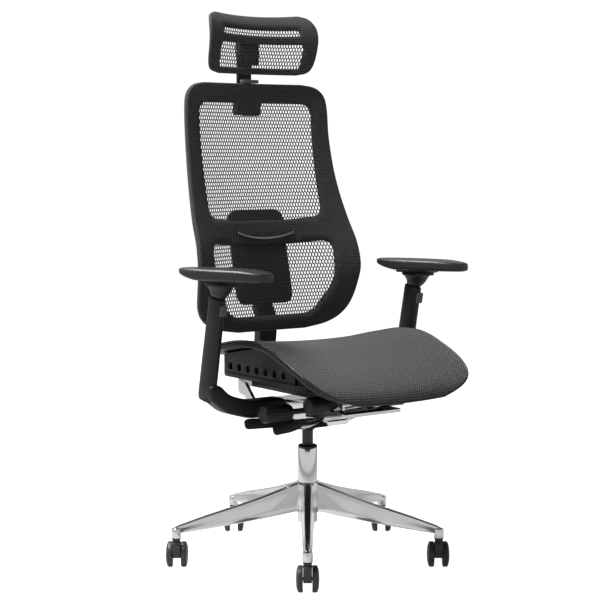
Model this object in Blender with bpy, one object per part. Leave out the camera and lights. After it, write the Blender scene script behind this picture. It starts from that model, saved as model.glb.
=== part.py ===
"""Swivel office chair with a mesh back, headrest, four-way arms and a five-star base.

Metres, +Z up, the sitter faces -Y.  Every sub-part is one named object, and a
moving piece has its origin on its joint's axis.
"""

import math

import bmesh
import bpy
from mathutils import Euler, Matrix, Vector

for old_object in list(bpy.data.objects):
    bpy.data.objects.remove(old_object)

# ---------------------------------------------------------------- dimensions
GAP = 0.0003                       # clearance between touching pieces
AXIS_Y = -0.012                    # swivel axis, so that the origin is under the box's middle

WHEEL_RADIUS = 0.032
WHEEL_WIDTH = 0.0165
WHEEL_SPACING = 0.039              # between the mid planes of a caster's two wheels
CASTER_TRAIL = 0.020               # from the stem's axis back to the axle
CASTER_HEADING = math.radians(-36)
STEM_RADIUS = 0.0055
STEM_CIRCLE = 0.344
BOSS_BOTTOM = 0.078

LEG_COUNT = 5
HUB_TOP = 0.200
HUB_BOTTOM = 0.124
TUBE_RADIUS = 0.025
TUBE_BOTTOM = 0.096
TUBE_TOP = 0.288
PISTON_RADIUS = 0.014
CHASSIS_BOTTOM = 0.346

SEAT_HALF = 0.250
PIVOT_Y = -0.200                   # the seat carrier's front pivot
PIVOT_Z = 0.430
RECLINE_Y = 0.035                  # the back yoke's pivot
RECLINE_Z = 0.402

BACK_HALF = 0.250                  # half the width at the widest row
SHEET = 0.0016                     # thickness of the stretched mesh
HEAD_HALF = 0.167
HEAD_PIVOT = Vector((0, 0.272, 1.300))

ARM_X = 0.303
ARM_LEAN = math.radians(11.5)      # forward lean of the arm's upright
ARM_BASE = Vector((0, -0.002, 0.448))
ARM_SLEEVE = 0.245                 # length of the upright's hollow sleeve
PAD_YAW = math.radians(21)         # both pads are swung towards +X
PAD_LENGTH = 0.256
PAD_WIDTH = 0.092
PAD_TOP = 0.759
PAD_PIVOT_Y = -0.070

# row height, half width, depth at the side edge, depth at the middle
BACK_ROWS = (
    (0.572, 0.105, 0.150, 0.158),
    (0.580, 0.158, 0.146, 0.157),
    (0.594, 0.198, 0.142, 0.157),
    (0.614, 0.224, 0.136, 0.158),
    (0.640, 0.239, 0.127, 0.161),
    (0.680, 0.246, 0.113, 0.168),
    (0.735, 0.250, 0.102, 0.180),
    (0.800, 0.246, 0.112, 0.198),
    (0.860, 0.240, 0.139, 0.210),
    (0.930, 0.232, 0.165, 0.224),
    (1.000, 0.226, 0.184, 0.236),
    (1.080, 0.222, 0.198, 0.247),
    (1.150, 0.220, 0.203, 0.251),
    (1.182, 0.214, 0.206, 0.252),
    (1.200, 0.200, 0.208, 0.252),
    (1.210, 0.180, 0.210, 0.252),
    (1.214, 0.150, 0.210, 0.252),
)
# distance from front to rear, half width, height of the side edge
SEAT_ROWS = (
    (-0.3760, 0.130, 0.462),
    (-0.3745, 0.166, 0.471),
    (-0.369, 0.198, 0.481),
    (-0.356, 0.224, 0.495),
    (-0.330, 0.240, 0.513),
    (-0.288, 0.248, 0.535),
    (-0.218, 0.250, 0.563),
    (-0.170, 0.250, 0.578),
    (-0.114, 0.250, 0.584),
    (-0.050, 0.250, 0.580),
    (0.020, 0.250, 0.567),
    (0.070, 0.247, 0.557),
    (0.098, 0.236, 0.551),
    (0.112, 0.214, 0.548),
    (0.120, 0.180, 0.546),
)
# row height, half width, depth at the middle
HEAD_ROWS = (
    (1.236, 0.120, 0.236),
    (1.240, 0.143, 0.234),
    (1.249, 0.156, 0.230),
    (1.268, 0.163, 0.223),
    (1.300, 0.166, 0.214),
    (1.332, 0.167, 0.210),
    (1.358, 0.165, 0.215),
    (1.375, 0.160, 0.224),
    (1.389, 0.150, 0.235),
    (1.397, 0.130, 0.242),
)

MATERIALS = {                      # colour, roughness, metallic
    "polished_aluminium": ((0.80, 0.80, 0.81), 0.12, 1.0),
    "chrome": ((0.86, 0.86, 0.87), 0.06, 1.0),
    "black_steel": ((0.03, 0.03, 0.032), 0.30, 0.8),
    "spring_steel": ((0.55, 0.55, 0.56), 0.30, 1.0),
    "black_plastic": ((0.022, 0.022, 0.024), 0.45, 0.0),
    "grey_plastic": ((0.16, 0.16, 0.17), 0.45, 0.0),
    "wheel_pu": ((0.07, 0.07, 0.075), 0.50, 0.0),
    "soft_pu": ((0.035, 0.035, 0.037), 0.40, 0.0),
    "back_mesh": ((0.03, 0.03, 0.032), 0.75, 0.0),
    "seat_mesh": ((0.07, 0.07, 0.075), 0.80, 0.0),
}

# ---------------------------------------------------------------- collections
chair = bpy.data.collections.new("office_chair")
cutters = bpy.data.collections.new("cutters")
for collection in (chair, cutters):
    bpy.context.scene.collection.children.link(collection)
cutters.hide_render = True

frame_root = bpy.data.objects.new("chair_frame", None)
frame_root.location = (0, AXIS_Y, 0)
chair.objects.link(frame_root)


# ---------------------------------------------------------------- helpers
def make_material(name):
    """Return the named material, made once from its table entry."""
    known = bpy.data.materials.get(name)
    if known:
        return known
    colour, roughness, metallic = MATERIALS[name]
    material = bpy.data.materials.new(name)
    material.use_nodes = True
    shader = material.node_tree.nodes["Principled BSDF"]
    shader.inputs["Base Color"].default_value = (*colour, 1)
    shader.inputs["Roughness"].default_value = roughness
    shader.inputs["Metallic"].default_value = metallic
    material.diffuse_color = (*colour, 1)
    return material


def as_object(name, mesh, collection):
    """Link a mesh or curve as a new object in a collection."""
    made = bpy.data.objects.new(name, mesh)
    collection.objects.link(made)
    return made


def as_mesh(source):
    """Turn an object's evaluated shape into a plain mesh object and drop the source."""
    bpy.context.view_layer.update()
    depsgraph = bpy.context.evaluated_depsgraph_get()
    mesh = bpy.data.meshes.new_from_object(source.evaluated_get(depsgraph))
    mesh.transform(source.matrix_world)
    made = as_object(source.name + "_mesh", mesh, cutters)
    bpy.data.objects.remove(source)
    work = bmesh.new()
    work.from_mesh(mesh)
    bmesh.ops.remove_doubles(work, verts=work.verts, dist=0.00001)
    bmesh.ops.recalc_face_normals(work, faces=work.faces)
    work.to_mesh(mesh)
    work.free()
    return made


def from_bmesh(name, work):
    """Make a mesh object, in the working collection, from a bmesh."""
    bmesh.ops.recalc_face_normals(work, faces=work.faces)
    mesh = bpy.data.meshes.new(name)
    work.to_mesh(mesh)
    work.free()
    return as_object(name, mesh, cutters)


def box(size, centre, turn=(0, 0, 0), bevel=0.0, shape=None):
    """A block, with an optional bevel and an optional function that moves its corners."""
    work = bmesh.new()
    bmesh.ops.create_cube(work, size=1)
    for vert in work.verts:
        vert.co = shape(vert.co) if shape else Vector(size) * vert.co
    if bevel:
        bmesh.ops.bevel(work, geom=list(work.edges), offset=bevel, segments=2, affect="EDGES", profile=0.5)
    placing = Matrix.Translation(centre) @ Euler(turn).to_matrix().to_4x4()
    bmesh.ops.transform(work, matrix=placing, verts=work.verts)
    return from_bmesh("box", work)


def cylinder(radius, start, end, segments=20, end_radius=None, squeeze=1.0):
    """A cylinder or cone between two points; squeeze flattens it along its own X."""
    start, end = Vector(start), Vector(end)
    along = end - start
    work = bmesh.new()
    bmesh.ops.create_cone(work, cap_ends=True, segments=segments, radius1=radius,
                          radius2=radius if end_radius is None else end_radius, depth=along.length)
    turn = along.to_track_quat("Z", "Y").to_matrix().to_4x4()
    placing = Matrix.Translation((start + end) / 2) @ turn @ Matrix.Diagonal((squeeze, 1, 1, 1))
    bmesh.ops.transform(work, matrix=placing, verts=work.verts)
    return from_bmesh("cylinder", work)


def turned(profile, segments=24, placing=Matrix.Identity(4)):
    """Turn a closed (radius, height) outline around the Z axis."""
    work = bmesh.new()
    ring = [work.verts.new((radius, 0, height)) for radius, height in profile]
    edges = [work.edges.new((ring[i - 1], ring[i])) for i in range(len(ring))]
    bmesh.ops.spin(work, geom=ring + edges, cent=(0, 0, 0), axis=(0, 0, 1),
                   angle=2 * math.pi, steps=segments, use_merge=True)
    bmesh.ops.remove_doubles(work, verts=work.verts, dist=0.00002)
    bmesh.ops.delete(work, geom=[edge for edge in work.edges if not edge.link_faces], context="EDGES")
    bmesh.ops.transform(work, matrix=placing, verts=work.verts)
    return from_bmesh("turned", work)


def rounded_outline(points, radius, steps=4):
    """Replace each corner of a closed 2D outline with a short arc."""
    outline = []
    for index, corner in enumerate(points):
        here = Vector(corner)
        before = (Vector(points[index - 1]) - here)
        after = (Vector(points[(index + 1) % len(points)]) - here)
        reach = min(radius, before.length * 0.45, after.length * 0.45)
        start, finish = here + before.normalized() * reach, here + after.normalized() * reach
        for step in range(steps + 1):
            t = step / steps
            outline.append((1 - t) ** 2 * start + 2 * t * (1 - t) * here + t * t * finish)
    return outline


def plate(outline, thickness, placing=Matrix.Identity(4)):
    """Extrude a flat 2D outline; it lies in XY before it is placed."""
    curve = bpy.data.curves.new("outline", "CURVE")
    curve.dimensions = "2D"
    curve.fill_mode = "BOTH"
    curve.extrude = thickness / 2
    spline = curve.splines.new("POLY")
    spline.points.add(len(outline) - 1)
    for point, place in zip(spline.points, outline):
        point.co = (place[0], place[1], 0, 1)
    spline.use_cyclic_u = True
    source = as_object("plate", curve, cutters)
    source.matrix_world = placing
    return as_mesh(source)


def tube(points, radius, segments=3):
    """A round bar along a smooth path."""
    curve = bpy.data.curves.new("path", "CURVE")
    curve.dimensions = "3D"
    curve.bevel_depth = radius
    curve.bevel_resolution = segments
    curve.use_fill_caps = True
    spline = curve.splines.new("POLY")
    spline.points.add(len(points) - 1)
    for point, place in zip(spline.points, points):
        point.co = (*place, 1)
    return as_mesh(as_object("tube", curve, cutters))


def combine(body, other, operation="UNION"):
    """Boolean one working object into another and drop the second."""
    modifier = body.modifiers.new("combine", "BOOLEAN")
    modifier.operation = operation
    modifier.solver = "EXACT"
    modifier.object = other
    result = as_mesh(body)
    bpy.data.objects.remove(other)
    return result


def union(*bodies):
    """Fuse working objects into one solid."""
    result = bodies[0]
    for body in bodies[1:]:
        result = combine(result, body)
    return result


def cut(body, *tools):
    """Cut working objects out of a solid."""
    for tool in tools:
        body = combine(body, tool, "DIFFERENCE")
    return body


def part(name, source, material, pivot=(0, 0, 0)):
    """Give a working object its final name, material, parent and origin."""
    pivot = Vector(pivot)
    source.data.transform(Matrix.Translation(-pivot))
    source.name = name
    source.data.name = name
    source.data.materials.clear()
    source.data.materials.append(make_material(material))
    source.location = pivot
    source.parent = frame_root
    cutters.objects.unlink(source)
    chair.objects.link(source)
    return source


def interpolate(rows, place, column):
    """Smoothly interpolate a column of a table whose first column rises."""
    last = len(rows) - 1
    index = max(0, min(last - 1, sum(row[0] <= place for row in rows) - 1))
    low, high = rows[index], rows[index + 1]
    t = max(0.0, min(1.0, (place - low[0]) / (high[0] - low[0])))
    before, after = rows[max(0, index - 1)], rows[min(last, index + 2)]
    span = high[0] - low[0]
    slope_low = (high[column] - before[column]) / (high[0] - before[0]) * span
    slope_high = (after[column] - low[column]) / (after[0] - low[0]) * span
    return ((2 * t ** 3 - 3 * t ** 2 + 1) * low[column] + (t ** 3 - 2 * t ** 2 + t) * slope_low
            + (3 * t ** 2 - 2 * t ** 3) * high[column] + (t ** 3 - t ** 2) * slope_high)


def shell(surface, rows, columns, offset, thickness):
    """A curved sheet over a grid: offset moves it along its normal, thickness goes on from there."""
    work = bmesh.new()
    bmesh.ops.create_grid(work, x_segments=columns, y_segments=len(rows) - 1, size=1)
    for vert in work.verts:
        row = rows[round((vert.co.y + 1) / 2 * (len(rows) - 1))]
        vert.co = surface(vert.co.x, row)
    bmesh.ops.triangulate(work, faces=work.faces[:], quad_method="FIXED")
    bmesh.ops.recalc_face_normals(work, faces=work.faces)
    work.normal_update()
    facing = 1 if sum((face.normal @ surface.outward for face in work.faces)) > 0 else -1
    normals = {vert: vert.normal * facing for vert in work.verts}
    made = bmesh.ops.duplicate(work, geom=list(work.faces))
    pairs = made["vert_map"]
    for vert, normal in normals.items():
        pairs[vert].co = vert.co + normal * (offset + thickness)
        vert.co = vert.co + normal * offset
    rims = [edge for edge in work.edges if len(edge.link_faces) == 1]
    bmesh.ops.bridge_loops(work, edges=rims)
    return from_bmesh("shell", work)


class Surface:
    """Maps a sideways share and a row of a table to a point, and knows which way is out."""

    def __init__(self, place, outward):
        self.place = place
        self.outward = Vector(outward)

    def __call__(self, share, row):
        return self.place(share, row)


def back_depth(x, height):
    """Depth of the back's front surface at a place on it."""
    edge = interpolate(BACK_ROWS, height, 2)
    middle = interpolate(BACK_ROWS, height, 3)
    return middle + (edge - middle) * (x / BACK_HALF) ** 2


def back_place(share, row):
    """A point of the back's surface."""
    x = share * row[1]
    return Vector((x, back_depth(x, row[0]), row[0]))


def seat_height(x, y):
    """Height of the seat's top surface: the middle hangs a little below the side rails."""
    return interpolate(SEAT_ROWS, y, 2) - 0.014 * (1 - (x / SEAT_HALF) ** 2)


def seat_place(share, row):
    """A point of the seat's surface."""
    x = share * row[1]
    return Vector((x, row[0], seat_height(x, row[0])))


def head_place(share, row):
    """A point of the headrest's surface, whose ends come forward and whose top edge dips."""
    x = share * row[1]
    dip = 0.010 * (row[0] - HEAD_ROWS[0][0]) / (HEAD_ROWS[-1][0] - HEAD_ROWS[0][0])
    return Vector((x, row[2] - 0.030 * (x / HEAD_HALF) ** 2, row[0] - dip * (1 - (x / HEAD_HALF) ** 2)))


back_surface = Surface(back_place, (0, -1, 0))
seat_surface = Surface(seat_place, (0, 0, 1))
head_surface = Surface(head_place, (0, -1, 0))
UPRIGHT = Matrix.Rotation(math.radians(90), 4, "X")      # stands an XY outline up in XZ
SIDE_ON = Matrix(((0, 0, 1, 0), (1, 0, 0, 0), (0, 1, 0, 0), (0, 0, 0, 1)))      # stands it up in YZ


def window(outline, depth, y, radius):
    """A cutter through something upright, from an (x, z) outline."""
    return plate(rounded_outline(outline, radius), depth, Matrix.Translation((0, y, 0)) @ UPRIGHT)


def floor_cutter(outline, radius):
    """A cutter through the seat, from an (x, y) outline."""
    return plate(rounded_outline(outline, radius), 0.4, Matrix.Translation((0, 0, 0.5)))


def heading_point(angle, radius, height=0.0):
    """A point at a heading measured from straight ahead, at a distance from the swivel axis."""
    return Vector((math.sin(angle) * radius, -math.cos(angle) * radius, height))


# ---------------------------------------------------------------- base and gas lift
def build_base():
    """Five-star aluminium base with a hub bore and a socket at each tip."""
    star = turned(((0.0220, HUB_BOTTOM), (0.036, HUB_BOTTOM), (0.037, 0.150), (0.033, 0.188),
                   (0.0295, HUB_TOP), (0.0220, HUB_TOP)), 30)
    sockets = []
    for index in range(LEG_COUNT):
        angle = math.radians(-36 + index * 72)

        def leg_corner(corner):
            far = corner.x + 0.5
            up = corner.z + 0.5
            width = (0.038 + (0.021 - 0.038) * far) * (1 - up) + (0.019 + (0.013 - 0.019) * far) * up
            low = 0.128 + (0.0885 - 0.128) * far
            high = 0.199 + (0.1045 - 0.199) * far
            return Vector((0.030 + far * (STEM_CIRCLE - 0.026), corner.y * width, low + (high - low) * up))

        leg = box(None, (0, 0, 0), (0, 0, angle - math.radians(90)), 0.0025, leg_corner)
        tip = heading_point(angle, STEM_CIRCLE)
        boss = cylinder(0.0118, tip + Vector((0, 0, BOSS_BOTTOM)), tip + Vector((0, 0, 0.102)), 16)
        sockets.append(cylinder(STEM_RADIUS + GAP, tip + Vector((0, 0, 0.060)), tip + Vector((0, 0, 0.0985)), 12))
        star = union(star, leg, boss)
    bore = cylinder(TUBE_RADIUS + 3 * GAP, (0, 0, 0.090), (0, 0, 0.210), 30)
    part("star_base", cut(star, bore, *sockets), "polished_aluminium")


def build_gas_lift():
    """Fixed outer tube, its flanged guide bush, and the piston that lifts and turns the seat."""
    inside = 0.0212
    part("gas_cylinder", turned(((0, TUBE_BOTTOM), (TUBE_RADIUS - 0.002, TUBE_BOTTOM),
                                 (TUBE_RADIUS, TUBE_BOTTOM + 0.002), (TUBE_RADIUS, TUBE_TOP),
                                 (inside, TUBE_TOP), (inside, TUBE_BOTTOM + 0.004),
                                 (0, TUBE_BOTTOM + 0.004)), 30), "chrome")
    bush_bore = PISTON_RADIUS + 2 * GAP
    part("guide_bush", turned(((bush_bore, 0.205), (inside - GAP, 0.205), (inside - GAP, TUBE_TOP + GAP),
                               (0.0246, TUBE_TOP + GAP), (0.0246, TUBE_TOP + 0.004), (0.022, TUBE_TOP + 0.0065),
                               (bush_bore, TUBE_TOP + 0.0065)), 30), "black_plastic")
    part("gas_piston", turned(((0, 0.145), (0.0125, 0.145), (PISTON_RADIUS, 0.1465), (PISTON_RADIUS, 0.372),
                               (0.012, 0.376), (0, 0.376)), 30), "black_steel")


def build_casters():
    """Twin-wheel casters: stem, hood and two wheels under each tip, all trailing the same way."""
    side = Vector((math.cos(CASTER_HEADING), math.sin(CASTER_HEADING), 0))
    trail = heading_point(CASTER_HEADING, -CASTER_TRAIL)
    for index in range(LEG_COUNT):
        stem_axis = heading_point(math.radians(-36 + index * 72), STEM_CIRCLE)
        axle = stem_axis + trail + Vector((0, 0, WHEEL_RADIUS))
        number = str(index + 1)
        stem = turned(((0, 0.062), (STEM_RADIUS, 0.062), (STEM_RADIUS, 0.0683), (0.0112, 0.0683),
                       (0.0112, BOSS_BOTTOM - GAP), (STEM_RADIUS, BOSS_BOTTOM - GAP), (STEM_RADIUS, 0.098),
                       (0, 0.098)), 12, Matrix.Translation(stem_axis))
        part("caster_stem_" + number, stem, "black_steel", stem_axis)
        part("caster_hood_" + number, build_hood(stem_axis, axle, side), "black_plastic", stem_axis)
        for label, way in (("left", 1), ("right", -1)):
            wheel = build_wheel(axle, side * way)
            part("caster_wheel_" + number + "_" + label, wheel, "wheel_pu", axle)


def build_hood(stem_axis, axle, side):
    """The caster's body between its wheels, with stub axles and the stem's socket."""
    half = 0.0105
    back = (axle - stem_axis).normalized()
    back.z = 0
    back.normalize()
    outline = [(-0.0115, 0.0675), (-0.0115, 0.048), (-0.006, 0.030), (0.006, 0.0245), (0.034, 0.0245),
               (0.043, 0.034), (0.041, 0.046), (0.030, 0.058), (0.012, 0.0675)]
    turn = Matrix((back, (0, 0, 1), side)).transposed().to_4x4()
    body = plate(rounded_outline(outline, 0.005, 1), half * 2, Matrix.Translation((*stem_axis.xy, 0)) @ turn)
    reach = WHEEL_SPACING / 2 + 0.002
    stub = cylinder(0.004, axle - side * reach, axle + side * reach, 12)
    socket = cylinder(STEM_RADIUS + GAP, (*stem_axis.xy, 0.0615), (*stem_axis.xy, 0.075), 12)
    return cut(union(body, stub), socket)


def build_wheel(axle, outward):
    """One wheel: flat tread, domed outer cover and a blind bore for the stub axle."""
    inner = WHEEL_SPACING / 2 - WHEEL_WIDTH / 2
    bore = 0.0042
    profile = ((bore, inner), (WHEEL_RADIUS - 0.001, inner), (WHEEL_RADIUS, inner + 0.001),
               (WHEEL_RADIUS, inner + 0.0105), (0.0285, inner + 0.0138), (0.012, inner + WHEEL_WIDTH),
               (0, inner + WHEEL_WIDTH), (0, WHEEL_SPACING / 2 + 0.0025), (bore, WHEEL_SPACING / 2 + 0.0025))
    turn = outward.to_track_quat("Z", "Y").to_matrix().to_4x4()
    return turned(profile, 20, Matrix.Translation(axle) @ turn)


# ---------------------------------------------------------------- mechanism
def build_mechanism():
    """Polished chassis on the piston, its controls and the front pivot."""
    body_outline = rounded_outline([(-0.165, 0.400), (-0.125, 0.372), (-0.060, CHASSIS_BOTTOM),
                                    (0.045, CHASSIS_BOTTOM), (0.078, 0.362), (0.078, 0.414), (-0.165, 0.414)], 0.008, 2)
    chassis = plate(body_outline, 0.110, SIDE_ON)
    wing_outline = rounded_outline([(-0.268, 0.404), (-0.150, 0.392), (-0.110, 0.388), (-0.110, 0.414),
                                    (-0.268, 0.414)], 0.004, 2)
    chassis = union(chassis, plate(wing_outline, 0.172, SIDE_ON),
                    box((0.180, 0.120, 0.014), (0, 0.005, 0.353), bevel=0.004))
    for x in (-0.050, 0.050):
        chassis = union(chassis, box((0.010, 0.034, 0.040), (x, PIVOT_Y, 0.425), bevel=0.003))
    shaft_hole = cylinder(0.0061, (-0.08, PIVOT_Y, PIVOT_Z), (0.08, PIVOT_Y, PIVOT_Z), 20)
    yoke_hole = cylinder(0.0081, (-0.07, RECLINE_Y, RECLINE_Z), (0.07, RECLINE_Y, RECLINE_Z), 20)
    socket = cylinder(PISTON_RADIUS + GAP, (0, 0, 0.330), (0, 0, 0.380), 30)
    spring_room = box((0.060, 0.110, 0.080), (0, -0.075, 0.410))
    part("chassis", cut(chassis, shaft_hole, yoke_hole, socket, spring_room), "polished_aluminium")

    part("chassis_bush", turned(((PISTON_RADIUS + GAP, 0.334), (0.0185, 0.334), (0.0185, CHASSIS_BOTTOM - GAP),
                                 (PISTON_RADIUS + GAP, CHASSIS_BOTTOM - GAP)), 30), "black_plastic")
    part("tilt_spring", cylinder(0.019, (0, -0.125, 0.394), (0, -0.030, 0.394), 24), "spring_steel")
    part("pivot_shaft", cylinder(0.006, (-0.108, PIVOT_Y, PIVOT_Z), (0.108, PIVOT_Y, PIVOT_Z), 20),
         "spring_steel", (0, PIVOT_Y, PIVOT_Z))
    part("recline_shaft", cylinder(0.008, (-0.139, RECLINE_Y, RECLINE_Z),
                                   (0.139, RECLINE_Y, RECLINE_Z), 20), "spring_steel")


def build_controls():
    """Tension knob and the two paddle levers on the sitter's right."""
    knob_at = Vector((-0.0553, -0.098, 0.402))
    knob = turned(((0, 0), (0.007, 0), (0.007, 0.068), (0.018, 0.070), (0.0205, 0.074), (0.0205, 0.148),
                   (0.0185, 0.152), (0, 0.152)), 24,
                  Matrix.Translation(knob_at) @ Matrix.Rotation(math.radians(-90), 4, "Y"))
    part("tension_knob", knob, "black_plastic", knob_at)
    for name, y, z, reach, width, rise in (("height_lever", -0.062, 0.370, 0.178, 0.026, 2.4),
                                           ("tilt_lever", -0.092, 0.367, 0.115, 0.024, -4.0)):
        root = Vector((-0.0553, y, z))
        paddle_outline = rounded_outline([(-reach, -width / 2), (-reach, width / 2), (-0.060, width / 2),
                                          (-0.030, 0.005), (-0.030, -0.005), (-0.060, -width / 2)], 0.011, 3)
        turn = Matrix.Rotation(math.radians(rise), 4, "Y") @ Matrix.Rotation(math.radians(70), 4, "X")
        paddle = plate(paddle_outline, 0.007, Matrix.Translation(root) @ turn)
        rod = cylinder(0.0045, root + Vector((-0.0006, 0, 0)), root + Vector((-0.045, 0, 0)), 12)
        part(name, union(rod, paddle), "black_plastic", root)


# ---------------------------------------------------------------- seat
def build_seat():
    """Tilting carrier, sliding pan, rim frame and the stretched mesh."""
    outer, bar = 0.088, 0.020
    carrier = box((outer * 2, 0.385, 0.018), (0, -0.0675, 0.445), bevel=0.003)
    hole = box((outer * 2 - bar * 2, 0.345, 0.05), (0, -0.0675, 0.445))
    carrier = cut(carrier, hole)
    for way in (-1, 1):
        ear = box((bar, 0.036, 0.030), (way * (outer - bar / 2), PIVOT_Y, 0.435), bevel=0.003)
        carrier = union(carrier, ear)
    carrier = cut(carrier, cylinder(0.0063, (-0.12, PIVOT_Y, PIVOT_Z), (0.12, PIVOT_Y, PIVOT_Z), 20))
    part("seat_carrier", carrier, "black_plastic", (0, PIVOT_Y, PIVOT_Z))
    for label, way in (("left", 1), ("right", -1)):
        inner_face = Vector((way * (outer + GAP), PIVOT_Y, PIVOT_Z))
        cap = turned(((0.0065, 0), (0.0205, 0), (0.0215, 0.004), (0.0215, 0.054), (0.019, 0.060), (0, 0.060),
                      (0, 0.022), (0.0065, 0.022)), 24,
                     Matrix.Translation(inner_face) @ Matrix.Rotation(math.radians(90 * way), 4, "Y"))
        part("pivot_cap_" + label, cap, "black_plastic", inner_face)

    tray = rounded_outline([(-0.205, -0.262), (0.205, -0.262), (0.205, 0.095), (-0.205, 0.095)], 0.04)
    pan = plate(tray, 0.010, Matrix.Translation((0, 0, 0.4845)))
    wall_rows = (-0.225, -0.190, -0.150, -0.100, -0.050, 0.000, 0.050, 0.078)
    wall_outline = [(y, seat_height(0.196, y) - 0.0165) for y in wall_rows] + [(0.078, 0.482), (-0.225, 0.482)]
    for way in (-1, 1):
        wall = plate(wall_outline, 0.010, Matrix.Translation((way * 0.196, 0, 0)) @ SIDE_ON)
        for step in range(7):
            floor = Vector((way * 0.1935, -0.180 + step * 0.038, 0.506))
            wall = cut(wall, cylinder(0.009, floor, floor + Vector((way * 0.02, 0, 0)), 10))
        runner = box((0.016, 0.330, 0.024), (way * 0.078, -0.060, 0.4690))
        pan = union(pan, wall, runner)
    part("seat_pan", pan, "black_plastic")

    rim = shell(seat_surface, SEAT_ROWS, 10, -GAP - 0.0002, -0.014)
    opening = floor_cutter([(-0.214, -0.325), (0.214, -0.325), (0.214, 0.088), (-0.214, 0.088)], 0.05)
    part("seat_rim", cut(rim, opening), "black_plastic")
    part("seat_mesh", shell(seat_surface, SEAT_ROWS, 10, 0, 0.0024), "seat_mesh")


# ---------------------------------------------------------------- back
def build_back():
    """Yoke and spine, the window frame with its stretched mesh, and the lumbar support."""
    half = 0.132
    path = [(half, RECLINE_Y - 0.020), (half, RECLINE_Y + 0.020), (half, 0.090), (half - 0.004, 0.120), (half - 0.022, 0.152),
            (half - 0.056, 0.176), (0.030, 0.186)]
    outer = path + [(-x, y) for x, y in reversed(path)]
    inner = [(x - (0.009 if x > 0 else -0.009), y - (0.0108 if y > 0.12 else 0)) for x, y in reversed(outer)]
    yoke = plate(outer + inner, 0.034, Matrix.Translation((0, 0, 0.430)))
    for vert in yoke.data.vertices:
        rise = max(0.0, min(1.0, (vert.co.y - RECLINE_Y - 0.020) / 0.035))
        vert.co.z += 0.018 * max(0.0, (vert.co.y - RECLINE_Y) / 0.15) * rise - 0.028 * (1 - rise)
    yoke = cut(yoke, cylinder(0.0083, (-0.2, RECLINE_Y, RECLINE_Z), (0.2, RECLINE_Y, RECLINE_Z), 20))
    pivot = (0, RECLINE_Y, RECLINE_Z)
    part("recline_yoke", yoke, "polished_aluminium", pivot)

    spine_side = rounded_outline([(0.1868, 0.430), (0.213, 0.430), (0.206, 0.500), (0.200, 0.600), (0.222, 0.660),
                                  (0.256, 0.840), (0.241, 0.840), (0.206, 0.655), (0.1722, 0.610), (0.1722, 0.560),
                                  (0.180, 0.520), (0.1868, 0.478)], 0.012, 2)
    part("spine", plate(spine_side, 0.054, SIDE_ON), "black_plastic", pivot)

    frame = shell(back_surface, BACK_ROWS, 10, -GAP - 0.0002, -0.013)
    upper = window([(-0.178, 0.868), (-0.09, 0.858), (0.09, 0.858), (0.178, 0.868), (0.178, 1.163), (-0.178, 1.163)],
                   0.5, 0.2, 0.028)
    lower = window([(-0.130, 0.612), (0.130, 0.612), (0.188, 0.690), (0.190, 0.806), (0.09, 0.796), (-0.09, 0.796),
                    (-0.190, 0.806), (-0.188, 0.690)], 0.5, 0.2, 0.030)
    notch = box((0.056, 0.10, 0.040), (0, 0.25, 1.150), bevel=0.004)
    notch_keep = cut(upper, notch)
    part("back_frame", cut(frame, notch_keep, lower), "black_plastic", pivot)
    part("back_mesh", shell(back_surface, BACK_ROWS, 10, 0, SHEET), "back_mesh", pivot)

    bar = []
    for step in range(13):
        x = -0.084 + 0.168 * step / 12
        z = 0.812 + 0.014 * (x / 0.084) ** 2
        bar.append((x, back_depth(x, z) - 0.0095, z))
    part("lumbar_bar", tube(bar, 0.0048, 2), "black_steel", pivot)

    pad_outline = rounded_outline([(-0.075, 0.640), (0.075, 0.640), (0.088, 0.660), (0.088, 0.868), (0.070, 0.885),
                                   (-0.070, 0.885), (-0.088, 0.868), (-0.088, 0.660)], 0.012, 3)
    pad = plate(pad_outline, 0.008, Matrix.Translation((0, 0.2, 0)) @ UPRIGHT)
    work = bmesh.new()
    work.from_mesh(pad.data)
    for vert in work.verts:
        vert.co.y += 0.186 + 0.215 * (vert.co.z - 0.640) - 0.2
    work.to_mesh(pad.data)
    work.free()
    part("lumbar_pad", pad, "grey_plastic", pivot)


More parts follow.
